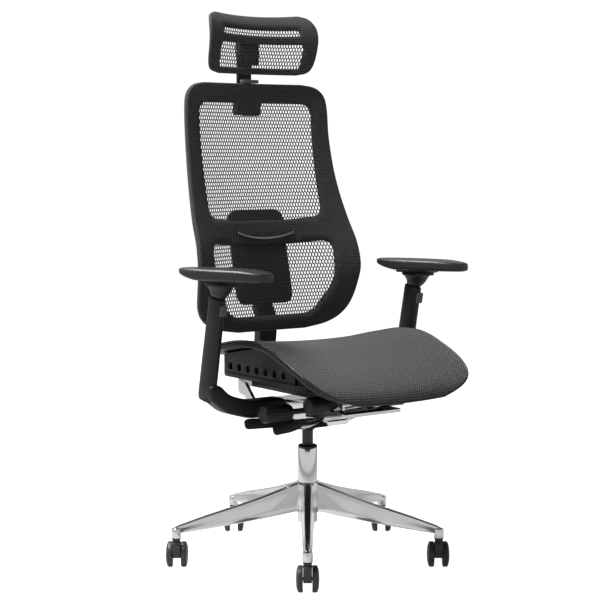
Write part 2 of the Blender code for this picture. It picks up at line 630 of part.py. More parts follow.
def build_headrest():
    """Bracket on the frame, sliding stem, and the tilting frame with its mesh."""
    bracket = box((0.060, 0.0298, 0.080), (0, 0.2811, 1.172), bevel=0.003)
    slot = box((0.0442, 0.0082, 0.2), (0, 0.286, 1.178))
    part("headrest_bracket", cut(bracket, slot), "black_plastic")
    part("headrest_clip", box((0.050, 0.016, 0.009), (0, 0.260, 1.2195), bevel=0.002), "grey_plastic")
    stem = box((0.044, 0.008, 0.150), (0, 0.286, 1.215), bevel=0.002)
    knuckle = cylinder(0.009, (-0.022, HEAD_PIVOT.y, HEAD_PIVOT.z), (0.022, HEAD_PIVOT.y, HEAD_PIVOT.z), 20)
    web = box((0.040, 0.016, 0.026), (0, 0.280, 1.286), bevel=0.001)
    pin_hole = cylinder(0.0033, (-0.05, HEAD_PIVOT.y, HEAD_PIVOT.z), (0.05, HEAD_PIVOT.y, HEAD_PIVOT.z), 16)
    part("headrest_stem", cut(union(stem, knuckle, web), pin_hole), "black_plastic", (0, 0.286, 1.178))
    part("headrest_pin", cylinder(0.003, (-0.0355, HEAD_PIVOT.y, HEAD_PIVOT.z), (0.0355, HEAD_PIVOT.y, HEAD_PIVOT.z), 16),
         "spring_steel", HEAD_PIVOT)

    frame = shell(head_surface, HEAD_ROWS, 10, -GAP - 0.0002, -0.010)
    arc = window([(-0.118, 1.334), (0.118, 1.334), (0.108, 1.362), (-0.108, 1.362)], 0.4, 0.22, 0.010)
    lower = window([(-0.127, 1.250), (0.127, 1.250), (0.130, 1.318), (-0.130, 1.318)], 0.4, 0.22, 0.014)
    frame = cut(frame, arc, lower)
    bridge = box((0.082, 0.016, 0.012), (0, 0.2225, 1.326), bevel=0.001)
    frame = union(frame, bridge)
    for way in (-1, 1):
        ear = box((0.010, 0.060, 0.046), (way * 0.0285, 0.2535, 1.310), bevel=0.002)
        frame = union(frame, ear)
    frame = cut(frame, cylinder(0.0033, (-0.05, HEAD_PIVOT.y, HEAD_PIVOT.z), (0.05, HEAD_PIVOT.y, HEAD_PIVOT.z), 16))
    part("headrest_frame", frame, "black_plastic", HEAD_PIVOT)
    part("headrest_mesh", shell(head_surface, HEAD_ROWS, 10, 0, SHEET), "back_mesh", HEAD_PIVOT)


# ---------------------------------------------------------------- arms
def build_arm(label, way):
    """One armrest: upright with its foot, sliding post, swinging plate, pad and trigger."""
    base = Vector((way * ARM_X, ARM_BASE.y, ARM_BASE.z))
    lean = Matrix.Translation(base) @ Matrix.Rotation(ARM_LEAN, 4, "X")

    def along(distance, forward=0.0):
        return lean @ Vector((0, -forward, distance))

    def oval(half_long, half_wide, low, high, top_scale=1.0):
        work = bmesh.new()
        bmesh.ops.create_cone(work, cap_ends=True, segments=24, radius1=half_long, radius2=half_long * top_scale,
                              depth=high - low)
        placing = (lean @ Matrix.Translation((0, 0, (low + high) / 2))
                   @ Matrix.Diagonal((half_wide / half_long, 1, 1, 1)))
        bmesh.ops.transform(work, matrix=placing, verts=work.verts)
        return from_bmesh("oval", work)

    foot_outline = rounded_outline([(0.092, 0.388), (0.200, 0.384), (0.272, 0.404), (0.3185, 0.442), (0.3185, 0.476),
                                    (0.288, 0.476), (0.262, 0.448), (0.198, 0.4285), (0.092, 0.4285)], 0.014, 3)
    foot = plate(foot_outline, 0.048, Matrix.Translation((0, ARM_BASE.y - 0.016, 0)) @ UPRIGHT)
    if way < 0:
        foot.data.transform(Matrix.Diagonal((-1, 1, 1, 1)))
        foot.data.flip_normals()
    sleeve = oval(0.0285, 0.0155, 0.000, ARM_SLEEVE, 0.94)
    room = oval(0.0228, 0.0108, 0.060, ARM_SLEEVE + 0.05)
    part("arm_upright_" + label, cut(union(foot, sleeve), room), "black_plastic", (way * 0.092, 0, 0.408))

    post = oval(0.0224, 0.0104, 0.075, ARM_SLEEVE + 0.012)
    top = along(ARM_SLEEVE + 0.012)
    neck_low, neck_high = top.z - 0.004, PAD_TOP - 0.042
    seat_point = Vector((way * ARM_X, PAD_PIVOT_Y, neck_high))
    neck_y = top.y - 0.012
    neck = cylinder(0.0270, (top.x, neck_y, neck_low), (top.x, neck_y, neck_high + 0.001), 24, 0.038, 0.72)
    crown = box((0.060, 0.082, 0.008), seat_point + Vector((0, 0, 0.004)), bevel=0.003)
    part("arm_post_" + label, union(post, neck, crown), "black_plastic", top)
    trigger = box((0.018, 0.006, 0.028), along(ARM_SLEEVE - 0.024, 0.0318), (ARM_LEAN, 0, 0), 0.002)
    part("arm_trigger_" + label, trigger, "grey_plastic", along(ARM_SLEEVE - 0.010, 0.0318))

    swing = Matrix.Translation((way * ARM_X, PAD_PIVOT_Y, 0)) @ Matrix.Rotation(PAD_YAW, 4, "Z")
    plate_low = neck_high + 0.008 + GAP
    slide_plate = plate(rounded_outline([(-0.026, -0.050), (0.026, -0.050), (0.026, 0.055), (-0.026, 0.055)],
                                        0.012, 3), 0.006, swing @ Matrix.Translation((0, 0, plate_low + 0.003)))
    part("pad_plate_" + label, slide_plate, "black_plastic", (way * ARM_X, PAD_PIVOT_Y, plate_low))
    part("arm_pad_" + label, build_pad(swing, plate_low + 0.006 + GAP), "soft_pu", (way * ARM_X, PAD_PIVOT_Y, PAD_TOP))


def build_pad(swing, low):
    """A soft pad: rounded plan, front half dipping, rear end undercut."""
    half_length, half_width = PAD_LENGTH / 2, PAD_WIDTH / 2
    shift = -0.012                 # the pad's middle is ahead of its pivot
    work = bmesh.new()
    bmesh.ops.create_cone(work, cap_ends=True, segments=28, radius1=1, radius2=1, depth=1)
    for vert in work.verts:
        angle = math.atan2(vert.co.y, vert.co.x)
        squarish = (abs(math.cos(angle)) ** 3.2 + abs(math.sin(angle)) ** 3.2) ** (-1 / 3.2)
        forward = math.sin(angle) * squarish
        across = math.cos(angle) * squarish * (1 - 0.10 * max(0.0, -forward))
        z = PAD_TOP if vert.co.z > 0 else low
        vert.co = Vector((across * half_width, forward * half_length + shift, z))
    bmesh.ops.bevel(work, geom=[edge for edge in work.edges if abs(edge.verts[0].co.z - edge.verts[1].co.z) < 1e-6],
                    offset=0.008, segments=2, affect="EDGES", profile=0.5)
    for y in (-0.11, -0.08, 0.07, 0.10):
        bmesh.ops.bisect_plane(work, geom=work.verts[:] + work.edges[:] + work.faces[:],
                               plane_co=(0, y, 0), plane_no=(0, 1, 0))
    for vert in work.verts:
        ahead = max(0.0, -(vert.co.y + 0.080)) / 0.07
        behind = max(0.0, vert.co.y - 0.060) / 0.05
        if vert.co.z < (low + PAD_TOP) / 2:
            vert.co.z += 0.012 * min(1.0, behind)
        vert.co.z -= 0.007 * ahead ** 1.6
    bmesh.ops.transform(work, matrix=swing, verts=work.verts)
    return from_bmesh("pad", work)


build_base()
build_gas_lift()
build_casters()
build_mechanism()
build_controls()
build_seat()
build_back()
build_headrest()
for arm_label, arm_way in (("left", 1), ("right", -1)):
    build_arm(arm_label, arm_way)

for leftover in list(cutters.objects):
    bpy.data.objects.remove(leftover)
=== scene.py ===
"""Looks of the swivel office chair: its visible pieces, their finishes, the studio and the camera.

Pieces are shaped in the chair's own coordinates, where the swivel axis is x = y = 0, and are put
into the row frame as they are finished. The sitter faces -Y.
"""

import logging
import math
from collections.abc import Callable, Iterable, Sequence
from dataclasses import dataclass
from enum import Enum

import bmesh
import bpy
from mathutils import Matrix, Vector
from mathutils.geometry import delaunay_2d_cdt


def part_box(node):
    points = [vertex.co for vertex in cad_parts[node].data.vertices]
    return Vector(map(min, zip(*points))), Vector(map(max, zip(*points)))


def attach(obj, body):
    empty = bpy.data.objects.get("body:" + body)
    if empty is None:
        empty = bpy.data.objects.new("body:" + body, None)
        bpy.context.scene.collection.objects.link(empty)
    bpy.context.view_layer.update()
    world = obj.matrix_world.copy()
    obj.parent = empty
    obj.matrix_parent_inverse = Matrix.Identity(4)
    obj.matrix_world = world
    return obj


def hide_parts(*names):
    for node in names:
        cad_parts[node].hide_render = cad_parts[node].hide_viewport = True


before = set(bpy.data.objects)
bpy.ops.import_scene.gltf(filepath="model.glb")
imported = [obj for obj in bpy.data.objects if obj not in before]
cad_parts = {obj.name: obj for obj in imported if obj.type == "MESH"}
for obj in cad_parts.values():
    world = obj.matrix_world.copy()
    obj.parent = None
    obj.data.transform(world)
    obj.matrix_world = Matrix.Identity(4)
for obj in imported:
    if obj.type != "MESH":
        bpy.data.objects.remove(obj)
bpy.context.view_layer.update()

log = logging.getLogger("chair")

Point2 = tuple[float, float]
Row = tuple[float, ...]
Loop = list[Vector]
Triangles = list[tuple[int, ...]]
Work = bmesh.types.BMesh
Piece = bpy.types.Object
Socket = bpy.types.NodeSocket
Node = bpy.types.Node
FaceTest = Callable[[Vector], bool]


def node_middle(node: str) -> Vector:
    """Middle of a CAD node's box."""
    low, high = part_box(node)
    return (low + high) / 2


AXIS_Y = node_middle("gas_piston").y
CLOTH_UV = "cloth"

# ---------------------------------------------------------------- tables of the main surfaces
# height, half width, depth at the side edge, depth at the middle
BACK_ROWS: tuple[Row, ...] = (
    (0.572, 0.105, 0.150, 0.158), (0.580, 0.158, 0.146, 0.157), (0.594, 0.198, 0.142, 0.157),
    (0.614, 0.224, 0.136, 0.158), (0.640, 0.239, 0.127, 0.161), (0.680, 0.246, 0.113, 0.168),
    (0.735, 0.250, 0.102, 0.180), (0.800, 0.246, 0.112, 0.198), (0.860, 0.240, 0.139, 0.210),
    (0.930, 0.232, 0.165, 0.224), (1.000, 0.226, 0.184, 0.236), (1.080, 0.222, 0.198, 0.247),
    (1.150, 0.220, 0.203, 0.251), (1.182, 0.214, 0.206, 0.252), (1.200, 0.200, 0.208, 0.252),
    (1.210, 0.180, 0.210, 0.252), (1.214, 0.150, 0.210, 0.252),
)
# place from front to rear, half width, height of the side edge
SEAT_ROWS: tuple[Row, ...] = ((-0.3760, 0.130, 0.462), (-0.3745, 0.166, 0.471),
                              (-0.369, 0.198, 0.481), (-0.356, 0.224, 0.495),
                              (-0.330, 0.240, 0.513), (-0.288, 0.248, 0.535),
                              (-0.218, 0.250, 0.563), (-0.170, 0.250, 0.578),
                              (-0.114, 0.250, 0.584), (-0.050, 0.250, 0.580), (0.020, 0.250, 0.567),
                              (0.070, 0.247, 0.557), (0.098, 0.236, 0.551), (0.112, 0.214, 0.548),
                              (0.120, 0.180, 0.546), )
# row height, half width, depth at the middle
HEAD_ROWS: tuple[Row, ...] = (
    (1.236, 0.120, 0.236), (1.240, 0.143, 0.234), (1.249, 0.156, 0.230), (1.268, 0.163, 0.223),
    (1.300, 0.166, 0.214), (1.332, 0.167, 0.210), (1.358, 0.165, 0.215), (1.375, 0.160, 0.224),
    (1.389, 0.150, 0.235), (1.397, 0.130, 0.242),
)
BACK_HALF = 0.250
SEAT_HALF = 0.250
HEAD_HALF = 0.167
SEAT_SAG = 0.014
HEAD_CURL = 0.030
HEAD_DIP = 0.010

# measures that more than one sub-assembly shares
LEG_COUNT = 5
LEG_TIP = 0.344
FIRST_LEG = -36
CLOTH_THICKNESS = 0.0016
HEM_THICKNESS = 0.0009
NET_DEPTH = 0.0003


def interpolate(rows: Sequence[Row], place: float, column: int) -> float:
    """Read one column of a table smoothly.

    Args:
        rows: the table, whose first column rises.
        place: where to read it.
        column: the column that is read.

    Returns:
        The value on a cubic curve through the rows.
    """
    last = len(rows) - 1
    index = max(0, min(last - 1, sum(row[0] <= place for row in rows) - 1))
    low, high = rows[index], rows[index + 1]
    span = high[0] - low[0]
    t = max(0.0, min(1.0, (place - low[0]) / span))
    before, after = rows[max(0, index - 1)], rows[min(last, index + 2)]
    slope_low = (high[column] - before[column]) / (high[0] - before[0]) * span
    slope_high = (after[column] - low[column]) / (after[0] - low[0]) * span
    return ((2 * t ** 3 - 3 * t ** 2 + 1) * low[column] + (t ** 3 - 2 * t ** 2 + t) * slope_low
            + (3 * t ** 2 - 2 * t ** 3) * high[column] + (t ** 3 - t ** 2) * slope_high)


@dataclass(frozen=True)
class Surface:
    """A surface over two flat measures, with the side that faces the sitter."""

    place: Callable[[float, float], Vector]
    outward: Vector

    def at(self, across: float, up: float, depth: float = 0.0) -> Vector:
        """Give a point of the surface.

        Args:
            across: first flat measure.
            up: second flat measure.
            depth: distance from the surface along its outward normal.

        Returns:
            The point in the chair's coordinates.
        """
        point = self.place(across, up)
        if depth == 0.0:
            return point
        small = 0.0015
        normal = (self.place(across + small, up) - self.place(across - small, up)).cross(
            self.place(across, up + small) - self.place(across, up - small)).normalized()
        if normal.dot(self.outward) < 0:
            normal.negate()
        return point + normal * depth


def flat_surface(placing: Matrix) -> Surface:
    """A flat surface that lies in a placed XY plane and faces its Z."""

    def place(across: float, up: float) -> Vector:
        """A point of the plane."""
        return placing @ Vector((across, up, 0))

    return Surface(place, placing.to_3x3() @ Vector((0, 0, 1)))


def back_place(x: float, height: float) -> Vector:
    """A point of the back's front surface."""
    edge, middle = interpolate(BACK_ROWS, height, 2), interpolate(BACK_ROWS, height, 3)
    return Vector((x, middle + (edge - middle) * (x / BACK_HALF) ** 2, height))


def unrolled_seat() -> tuple[Row, ...]:
    """The seat's table by distance along its curve: distance, half width, place, height."""
    made: list[Row] = []
    travelled, last = 0.0, (SEAT_ROWS[0][0], SEAT_ROWS[0][2])
    for y, half, z in SEAT_ROWS:
        travelled += math.hypot(y - last[0], z - last[1])
        made.append((travelled, half, y, z))
        last = (y, z)
    return tuple(made)


SEAT_CURVE = unrolled_seat()


def along_seat(y: float) -> float:
    """Find the distance along the seat's curve.

    Args:
        y: a place from front to rear.

    Returns:
        The distance from the front edge.
    """
    for low, high in zip(SEAT_CURVE, SEAT_CURVE[1:]):
        if y <= high[2]:
            return low[0] + (y - low[2]) / (high[2] - low[2]) * (high[0] - low[0])
    return SEAT_CURVE[-1][0]


def seat_place(x: float, along: float) -> Vector:
    """A point of the seat's top: the middle hangs a little below the side rails."""
    y, z = interpolate(SEAT_CURVE, along, 2), interpolate(SEAT_CURVE, along, 3)
    return Vector((x, y, z - SEAT_SAG * (1 - (x / SEAT_HALF) ** 2)))


def head_place(x: float, height: float) -> Vector:
    """A point of the headrest, whose ends come forward and whose top edge dips."""
    dip = HEAD_DIP * (height - HEAD_ROWS[0][0]) / (HEAD_ROWS[-1][0] - HEAD_ROWS[0][0])
    return Vector((x, interpolate(HEAD_ROWS, height, 2) - HEAD_CURL * (x / HEAD_HALF) ** 2,
                   height - dip * (1 - (x / HEAD_HALF) ** 2)))


BACK = Surface(back_place, Vector((0, -1, 0)))
SEAT = Surface(seat_place, Vector((0, 0, 1)))
HEAD = Surface(head_place, Vector((0, -1, 0)))
# stands a flat outline upright, so that it faces the sitter
FACING = Matrix(((1, 0, 0, 0), (0, 0, -1, 0), (0, 1, 0, 0), (0, 0, 0, 1)))


def spun(degrees: float, axis: str) -> Matrix:
    """A turn about an axis of the chair."""
    return Matrix.Rotation(math.radians(degrees), 4, axis)


# ---------------------------------------------------------------- flat outlines
def turned_left(loop: Loop) -> Loop:
    """The loop in counter-clockwise order."""
    area = sum(a.x * b.y - b.x * a.y for a, b in zip(loop, loop[1:] + loop[:1]))
    return loop if area > 0 else loop[::-1]


def spaced(loop: Loop, step: float) -> Loop:
    """Points about a step apart along a closed loop.

    Args:
        loop: the loop's corners.
        step: wanted distance between points.

    Returns:
        The new points.
    """
    ends = loop + loop[:1]
    lengths = [(b - a).length for a, b in zip(ends, ends[1:])]
    count = max(12, round(sum(lengths) / step))
    stride, made, index, done = sum(lengths) / count, [], 0, 0.0
    for number in range(count):
        target = number * stride
        while done + lengths[index] < target and index < len(lengths) - 1:
            done += lengths[index]
            index += 1
        made.append(ends[index].lerp(ends[index + 1], (target - done) / max(lengths[index], 1e-9)))
    return made


def rounded(points: Sequence[Point2], radius: float, step: float = 0.006) -> Loop:
    """A closed outline with its corners rounded.

    Args:
        points: the corners.
        radius: how far from each corner the rounding starts.
        step: distance between the outline's points.

    Returns:
        The outline, counter-clockwise.
    """
    outline: Loop = []
    for index, corner in enumerate(points):
        here = Vector(corner)
        before = Vector(points[index - 1]) - here
        after = Vector(points[(index + 1) % len(points)]) - here
        reach = min(radius, before.length * 0.49, after.length * 0.49)
        start, finish = here + before.normalized() * reach, here + after.normalized() * reach
        for part in range(9):
            t = part / 8
            outline.append((1 - t) ** 2 * start + 2 * t * (1 - t) * here + t * t * finish)
    return spaced(turned_left(outline), step)


def table_outline(rows: Sequence[Row], step: float = 0.006) -> Loop:
    """The closed outline that a table's half widths give.

    Args:
        rows: the table, with half widths in its second column.
        step: distance between the outline's points.

    Returns:
        The outline, counter-clockwise.
    """
    low, high, count = rows[0][0], rows[-1][0], 160
    places = [low + (high - low) * number / count for number in range(count + 1)]
    right = [Vector((interpolate(rows, place, 1), place)) for place in places]
    return spaced(turned_left(right + [Vector((-point.x, point.y)) for point in reversed(right)]),
                  step)


def grown(loop: Loop, distance: float) -> Loop:
    """Move a loop outwards.

    Args:
        loop: the loop, counter-clockwise.
        distance: how far; below zero it moves inwards.

    Returns:
        The moved loop.
    """
    made = []
    for index, here in enumerate(loop):
        along = (loop[(index + 1) % len(loop)] - loop[index - 1]).normalized()
        made.append(here + Vector((along.y, -along.x)) * distance)
    return made


def inside(point: Vector, loop: Loop) -> bool:
    """Test a flat point against a closed loop.

    Args:
        point: the point.
        loop: the loop.

    Returns:
        Whether the point lies in the loop.
    """
    found = False
    for a, b in zip(loop, loop[1:] + loop[:1]):
        if (a.y > point.y) != (b.y > point.y):
            if point.x < (b.x - a.x) * (point.y - a.y) / (b.y - a.y) + a.x:
                found = not found
    return found


def filled(outer: Loop, holes: list[Loop], step: float) -> tuple[Loop, Triangles]:
    """Fill an outline with even triangles, leaving its holes open.

    Args:
        outer: the outer loop.
        holes: the loops of the holes.
        step: size of the inner triangles.

    Returns:
        The flat points, and the triangles as indices of them.
    """
    points: Loop = []
    edges: list[tuple[int, int]] = []
    for loop in (outer, *holes):
        first = len(points)
        points += loop
        edges += [(first + i, first + (i + 1) % len(loop)) for i in range(len(loop))]
    margin = 0.55 * step
    keep_in, keep_off = grown(outer, -margin), [grown(hole, margin) for hole in holes]
    low_x, high_x = min(p.x for p in outer), max(p.x for p in outer)
    low_y, high_y = min(p.y for p in outer), max(p.y for p in outer)
    across, up = int((high_x - low_x) / step), int((high_y - low_y) / step)
    for column in range(across + 1):
        for row in range(up + 1):
            spot = Vector((low_x + (column + 0.5 * (row % 2)) * step, low_y + (row + 0.37) * step))
            if inside(spot, keep_in) and not any(inside(spot, hole) for hole in keep_off):
                points.append(spot)
    flat, _, faces, *_ = delaunay_2d_cdt(points, edges, [], 0, 1e-7)
    kept = []
    for face in faces:
        middle = sum((flat[i] for i in face), Vector((0, 0))) / len(face)
        if inside(middle, outer) and not any(inside(middle, hole) for hole in holes):
            kept.append(tuple(face))
    return list(flat), kept


# ---------------------------------------------------------------- solids
@dataclass(frozen=True)
class Edge:
    """How a plate's rim is rounded, and which sides it has."""

    radius: float = 0.002
    steps: int = 4
    holes_too: bool = True
    closed: bool = True

    def layers(self, front: float, back: float) -> list[Point2]:
        """Step from the front face over the rim to the back face.

        Args:
            front: depth of the front face.
            back: depth of the back face.

        Returns:
            The steps, as (outset, depth).
        """
        way = 1.0 if front > back else -1.0
        turn = [math.pi / 2 * k / self.steps for k in range(1, self.steps + 1)]
        over = [(self.radius * math.sin(a), front - way * self.radius * (1 - math.cos(a)))
                for a in turn]
        if not self.closed:
            return over + [(self.radius, back)]
        under = [(self.radius * math.sin(a), back + way * self.radius * (1 - math.cos(a)))
                 for a in reversed(turn)]
        return over + under


def plate(outer: Loop, holes: list[Loop], surface: Surface, front: float, back: float,
          edge: Edge = Edge(), step: float = 0.012) -> Work:
    """A curved plate with holes and a rounded rim, laid on a surface.

    Args:
        outer: the plate's flat outline.
        holes: the flat outlines of its holes.
        surface: what it is laid on.
        front: distance of its front face from the surface.
        back: distance of its back face.
        edge: how its rim is rounded.
        step: size of its triangles.

    Returns:
        The working mesh, with flat measures in its cloth UV map.
    """
    hole_inset = edge.radius if edge.holes_too else 0.0
    flat, faces = filled(grown(outer, -edge.radius), [grown(hole, hole_inset) for hole in holes],
                         step)
    flat_of: dict[bmesh.types.BMVert, Vector] = {}
    work = bmesh.new()

    def vertex(spot: Vector, depth: float, unrolled: Vector) -> bmesh.types.BMVert:
        """A vertex over a flat point, with the place it has on the unrolled cloth."""
        made = work.verts.new(surface.at(spot.x, spot.y, depth))
        flat_of[made] = unrolled
        return made

    used = sorted({i for face in faces for i in face})
    front_of = {i: vertex(flat[i], front, flat[i]) for i in used}
    for face in faces:
        work.faces.new([front_of[i] for i in face])
    sides: dict[tuple[int, int], int] = {}
    for face in faces:
        for a, b in zip(face, face[1:] + face[:1]):
            sides[(a, b)] = sides.get((a, b), 0) + 1
    rim = [(a, b) for a, b in sides if (b, a) not in sides]
    # which way the rim grows at each of its points, away from the plate
    out: dict[int, Vector] = {}
    for a, b in rim:
        along = (flat[b] - flat[a]).normalized()
        for end in (a, b):
            out[end] = out.get(end, Vector((0, 0))) + Vector((along.y, -along.x))
    out = {i: direction.normalized() for i, direction in out.items()}
    if not edge.holes_too:
        just_off = edge.radius + 0.0005
        on_hole = {i: any(inside(flat[i] + out[i] * just_off, hole) for hole in holes)
                   for i in out}
        rim = [(a, b) for a, b in rim if not on_hole[a]]
    last = dict(front_of)
    travelled, before = 0.0, (0.0, front)
    for outset, depth in edge.layers(front, back)[:None if not edge.closed else -1]:
        travelled += math.hypot(outset - before[0], depth - before[1])
        before = (outset, depth)
        ring = {i: vertex(flat[i] + out[i] * outset, depth, flat[i] + out[i] * travelled)
                for i in {i for pair in rim for i in pair}}
        for a, b in rim:
            work.faces.new((last[b], last[a], ring[a], ring[b]))
        last = ring
    if edge.closed:
        back_of = {i: vertex(flat[i], back, flat[i]) for i in used}
        for a, b in rim:
            work.faces.new((last[b], last[a], back_of[a], back_of[b]))
        for face in faces:
            work.faces.new([back_of[i] for i in reversed(face)])
    layer = work.loops.layers.uv.new(CLOTH_UV)
    for face in work.faces:
        for corner in face.loops:
            corner[layer].uv = flat_of[corner.vert]
    return work


def lofted(rings: Sequence[Sequence[Vector]], capped: bool = True, looped: bool = False) -> Work:
    """Join rings of the same number of points into a skin.

    Args:
        rings: the rings in order.
        capped: whether the two ends are closed.
        looped: whether the last ring joins the first.

    Returns:
        The working mesh.
    """
    work = bmesh.new()
    made = [[work.verts.new(point) for point in ring] for ring in rings]
    pairs = list(zip(made, made[1:])) + ([(made[-1], made[0])] if looped else [])
    for low, high in pairs:
        for i in range(len(low)):
            j = (i + 1) % len(low)
            work.faces.new((low[i], low[j], high[j], high[i]))
    if capped and not looped:
        work.faces.new(made[0][::-1])
        work.faces.new(made[-1])
    return work


def turned(profile: Sequence[Point2], placing: Matrix = Matrix.Identity(4), segments: int = 56,
           ripple: Callable[[float, float, float], float] | None = None) -> Work:
    """Turn an outline round Z.

    Args:
        profile: (radius, height) pairs; a zero radius closes an end, else the outline is closed.
        placing: where the turned body goes.
        segments: points round it.
        ripple: gives a new radius from radius, height and angle, such as for flutes.

    Returns:
        The working mesh.
    """
    work = bmesh.new()
    rings: list[list[bmesh.types.BMVert]] = []
    for radius, height in profile:
        if radius < 1e-6:
            rings.append([work.verts.new((0, 0, height))])
            continue
        ring = []
        for step in range(segments):
            angle = 2 * math.pi * step / segments
            reach = ripple(radius, height, angle) if ripple else radius
            ring.append(work.verts.new((reach * math.cos(angle), reach * math.sin(angle), height)))
        rings.append(ring)
    pairs = list(zip(rings, rings[1:]))
    if len(rings[0]) > 1 and len(rings[-1]) > 1:
        pairs.append((rings[-1], rings[0]))
    for low, high in pairs:
        if len(low) == 1 and len(high) == 1:
            continue
        for i in range(segments):
            j = (i + 1) % segments
            corners = [low[i % len(low)], low[j % len(low)], high[j % len(high)],
                       high[i % len(high)]]
            work.faces.new(list(dict.fromkeys(corners)))
    bmesh.ops.transform(work, matrix=placing, verts=work.verts)
    return work


def swept(path: Sequence[Vector], radius: float, segments: int = 14, closed: bool = False) -> Work:
    """A round bar along a path, with domed ends where the path is open.

    Args:
        path: the bar's middle line.
        radius: the bar's radius.
        segments: points round it.
        closed: whether the path's end joins its start.

    Returns:
        The working mesh.
    """
    rings = []
    count = len(path)
    side = Vector((0, 0, 1))
    stations = [(path[i], i, 1.0, 0.0) for i in range(count)]
    if not closed:
        dome = [(math.sin(a), math.cos(a)) for a in (0.35, 0.75, 1.15)]
        stations = ([(path[0], 0, s, -c * radius) for s, c in dome] + stations
                    + [(path[-1], count - 1, s, c * radius) for s, c in reversed(dome)])
    for point, i, size, shift in stations:
        ahead = path[(i + 1) % count] if closed or i < count - 1 else path[i]
        behind = path[i - 1] if closed or i > 0 else path[i]
        along = (ahead - behind).normalized()
        steep = abs(side.dot(along)) >= 0.97
        across = Vector((1, 0, 0)) if steep else side.cross(along).normalized()
        up = along.cross(across)
        rings.append([point + along * shift + (across * math.cos(t)
                                               + up * math.sin(t)) * radius * size
                      for t in (2 * math.pi * k / segments for k in range(segments))])
    return lofted(rings, looped=closed)


def ellipse_ring(half_x: float, half_y: float, height: float, placing: Matrix, power: float = 2.0,
                 count: int = 48) -> Loop:
    """A level superellipse of points.

    Args:
        half_x: half its size along X.
        half_y: half its size along Y.
        height: its height.
        placing: where it goes.
        power: 2 gives an ellipse, more gives fuller corners.
        count: how many points it has.

    Returns:
        The placed points.
    """
    ring = []
    for step in range(count):
        angle = 2 * math.pi * step / count
        c, s = math.cos(angle), math.sin(angle)
        reach = (abs(c) ** power + abs(s) ** power) ** (-1 / power)
        ring.append(placing @ Vector((half_x * c * reach, half_y * s * reach, height)))
    return ring


def merged(*bodies: Work) -> Work:
    """Put working meshes together.

    Args:
        bodies: the meshes, which are used up.

    Returns:
        One working mesh.
    """
    whole = bmesh.new()
    for body in bodies:
        spare = bpy.data.meshes.new("spare")
        body.to_mesh(spare)
        body.free()
        whole.from_mesh(spare)
        bpy.data.meshes.remove(spare)
    return whole


def as_object(name: str, work: Work) -> Piece:
    """Make an object in the scene, its faces turned outwards.

    Args:
        name: the object's name.
        work: the working mesh, which is used up.

    Returns:
        The object.
    """
    bmesh.ops.recalc_face_normals(work, faces=work.faces)
    mesh = bpy.data.meshes.new(name)
    work.to_mesh(mesh)
    work.free()
    made = bpy.data.objects.new(name, mesh)
    bpy.context.scene.collection.objects.link(made)
    return made


def applied(source: Piece) -> Piece:
    """Put an object's modifiers into its mesh.

    Args:
        source: the object.

    Returns:
        The same object, without modifiers.
    """
    bpy.context.view_layer.update()
    evaluated = source.evaluated_get(bpy.context.evaluated_depsgraph_get())
    mesh = bpy.data.meshes.new_from_object(evaluated)
    source.modifiers.clear()
    source.data = mesh
    return source


def fused(bodies: Sequence[Work]) -> Work:
    """Union working meshes into one skin.

    Args:
        bodies: the closed meshes, which are used up.

    Returns:
        The skin as a working mesh.
    """
    whole = as_object("fused", bodies[0])
    for body in bodies[1:]:
        tool = as_object("tool", body)
        joining = whole.modifiers.new("join", "BOOLEAN")
        joining.operation, joining.solver, joining.object = "UNION", "EXACT", tool
        applied(whole)
        bpy.data.objects.remove(tool)
    work = bmesh.new()
    work.from_mesh(whole.data)
    bpy.data.objects.remove(whole)
    return work


# ---------------------------------------------------------------- shared shader groups
Sockets = Sequence[tuple[str, str, float]]
GroupParts = tuple[bpy.types.NodeTree, Node, Node]


def shader_group(name: str, inputs: Sockets, outputs: Sockets) -> GroupParts:
    """Start a shader node group.

    Args:
        name: the group's name.
        inputs: its input sockets, as (name, type, value).
        outputs: its output sockets.

    Returns:
        The tree, its input node and its output node.
    """
    tree = bpy.data.node_groups.new(name, "ShaderNodeTree")
    for way, sockets in (("INPUT", inputs), ("OUTPUT", outputs)):
        for label, kind, value in sockets:
            made = tree.interface.new_socket(name=label, in_out=way, socket_type=kind)
            if way == "INPUT" and kind == "NodeSocketFloat":
                made.default_value = value
    return tree, tree.nodes.new("NodeGroupInput"), tree.nodes.new("NodeGroupOutput")


class Wires:
    """Adds nodes to a tree and joins them."""

    def __init__(self, tree: bpy.types.NodeTree) -> None:
        """Keep the tree that the nodes go into."""
        self.tree = tree

    def node(self, kind: str, settings: dict[str, object] | None = None, **values: object) -> Node:
        """Add a node.

        Args:
            kind: Blender's name of the node's type.
            settings: attributes to set, such as an operation.
            values: inputs by name or by number after an underscore; a socket is linked.

        Returns:
            The node.
        """
        made = self.tree.nodes.new(kind)
        for key, value in (settings or {}).items():
            setattr(made, key, value)
        for key, value in values.items():
            by_number = key[0] == "_" and key[1:].isdigit()
            socket = made.inputs[int(key[1:]) if by_number else key.replace("_", " ")]
            if isinstance(value, Socket):
                self.tree.links.new(value, socket)
            else:
                socket.default_value = value
        return made

    def sum(self, operation: str, a: object, b: object = 0.0) -> Socket:
        """One Math node's result."""
        return self.node("ShaderNodeMath", {"operation": operation}, _0=a, _1=b).outputs[0]

    def link(self, source: Socket, target: Socket) -> None:
        """Join two sockets."""
        self.tree.links.new(source, target)


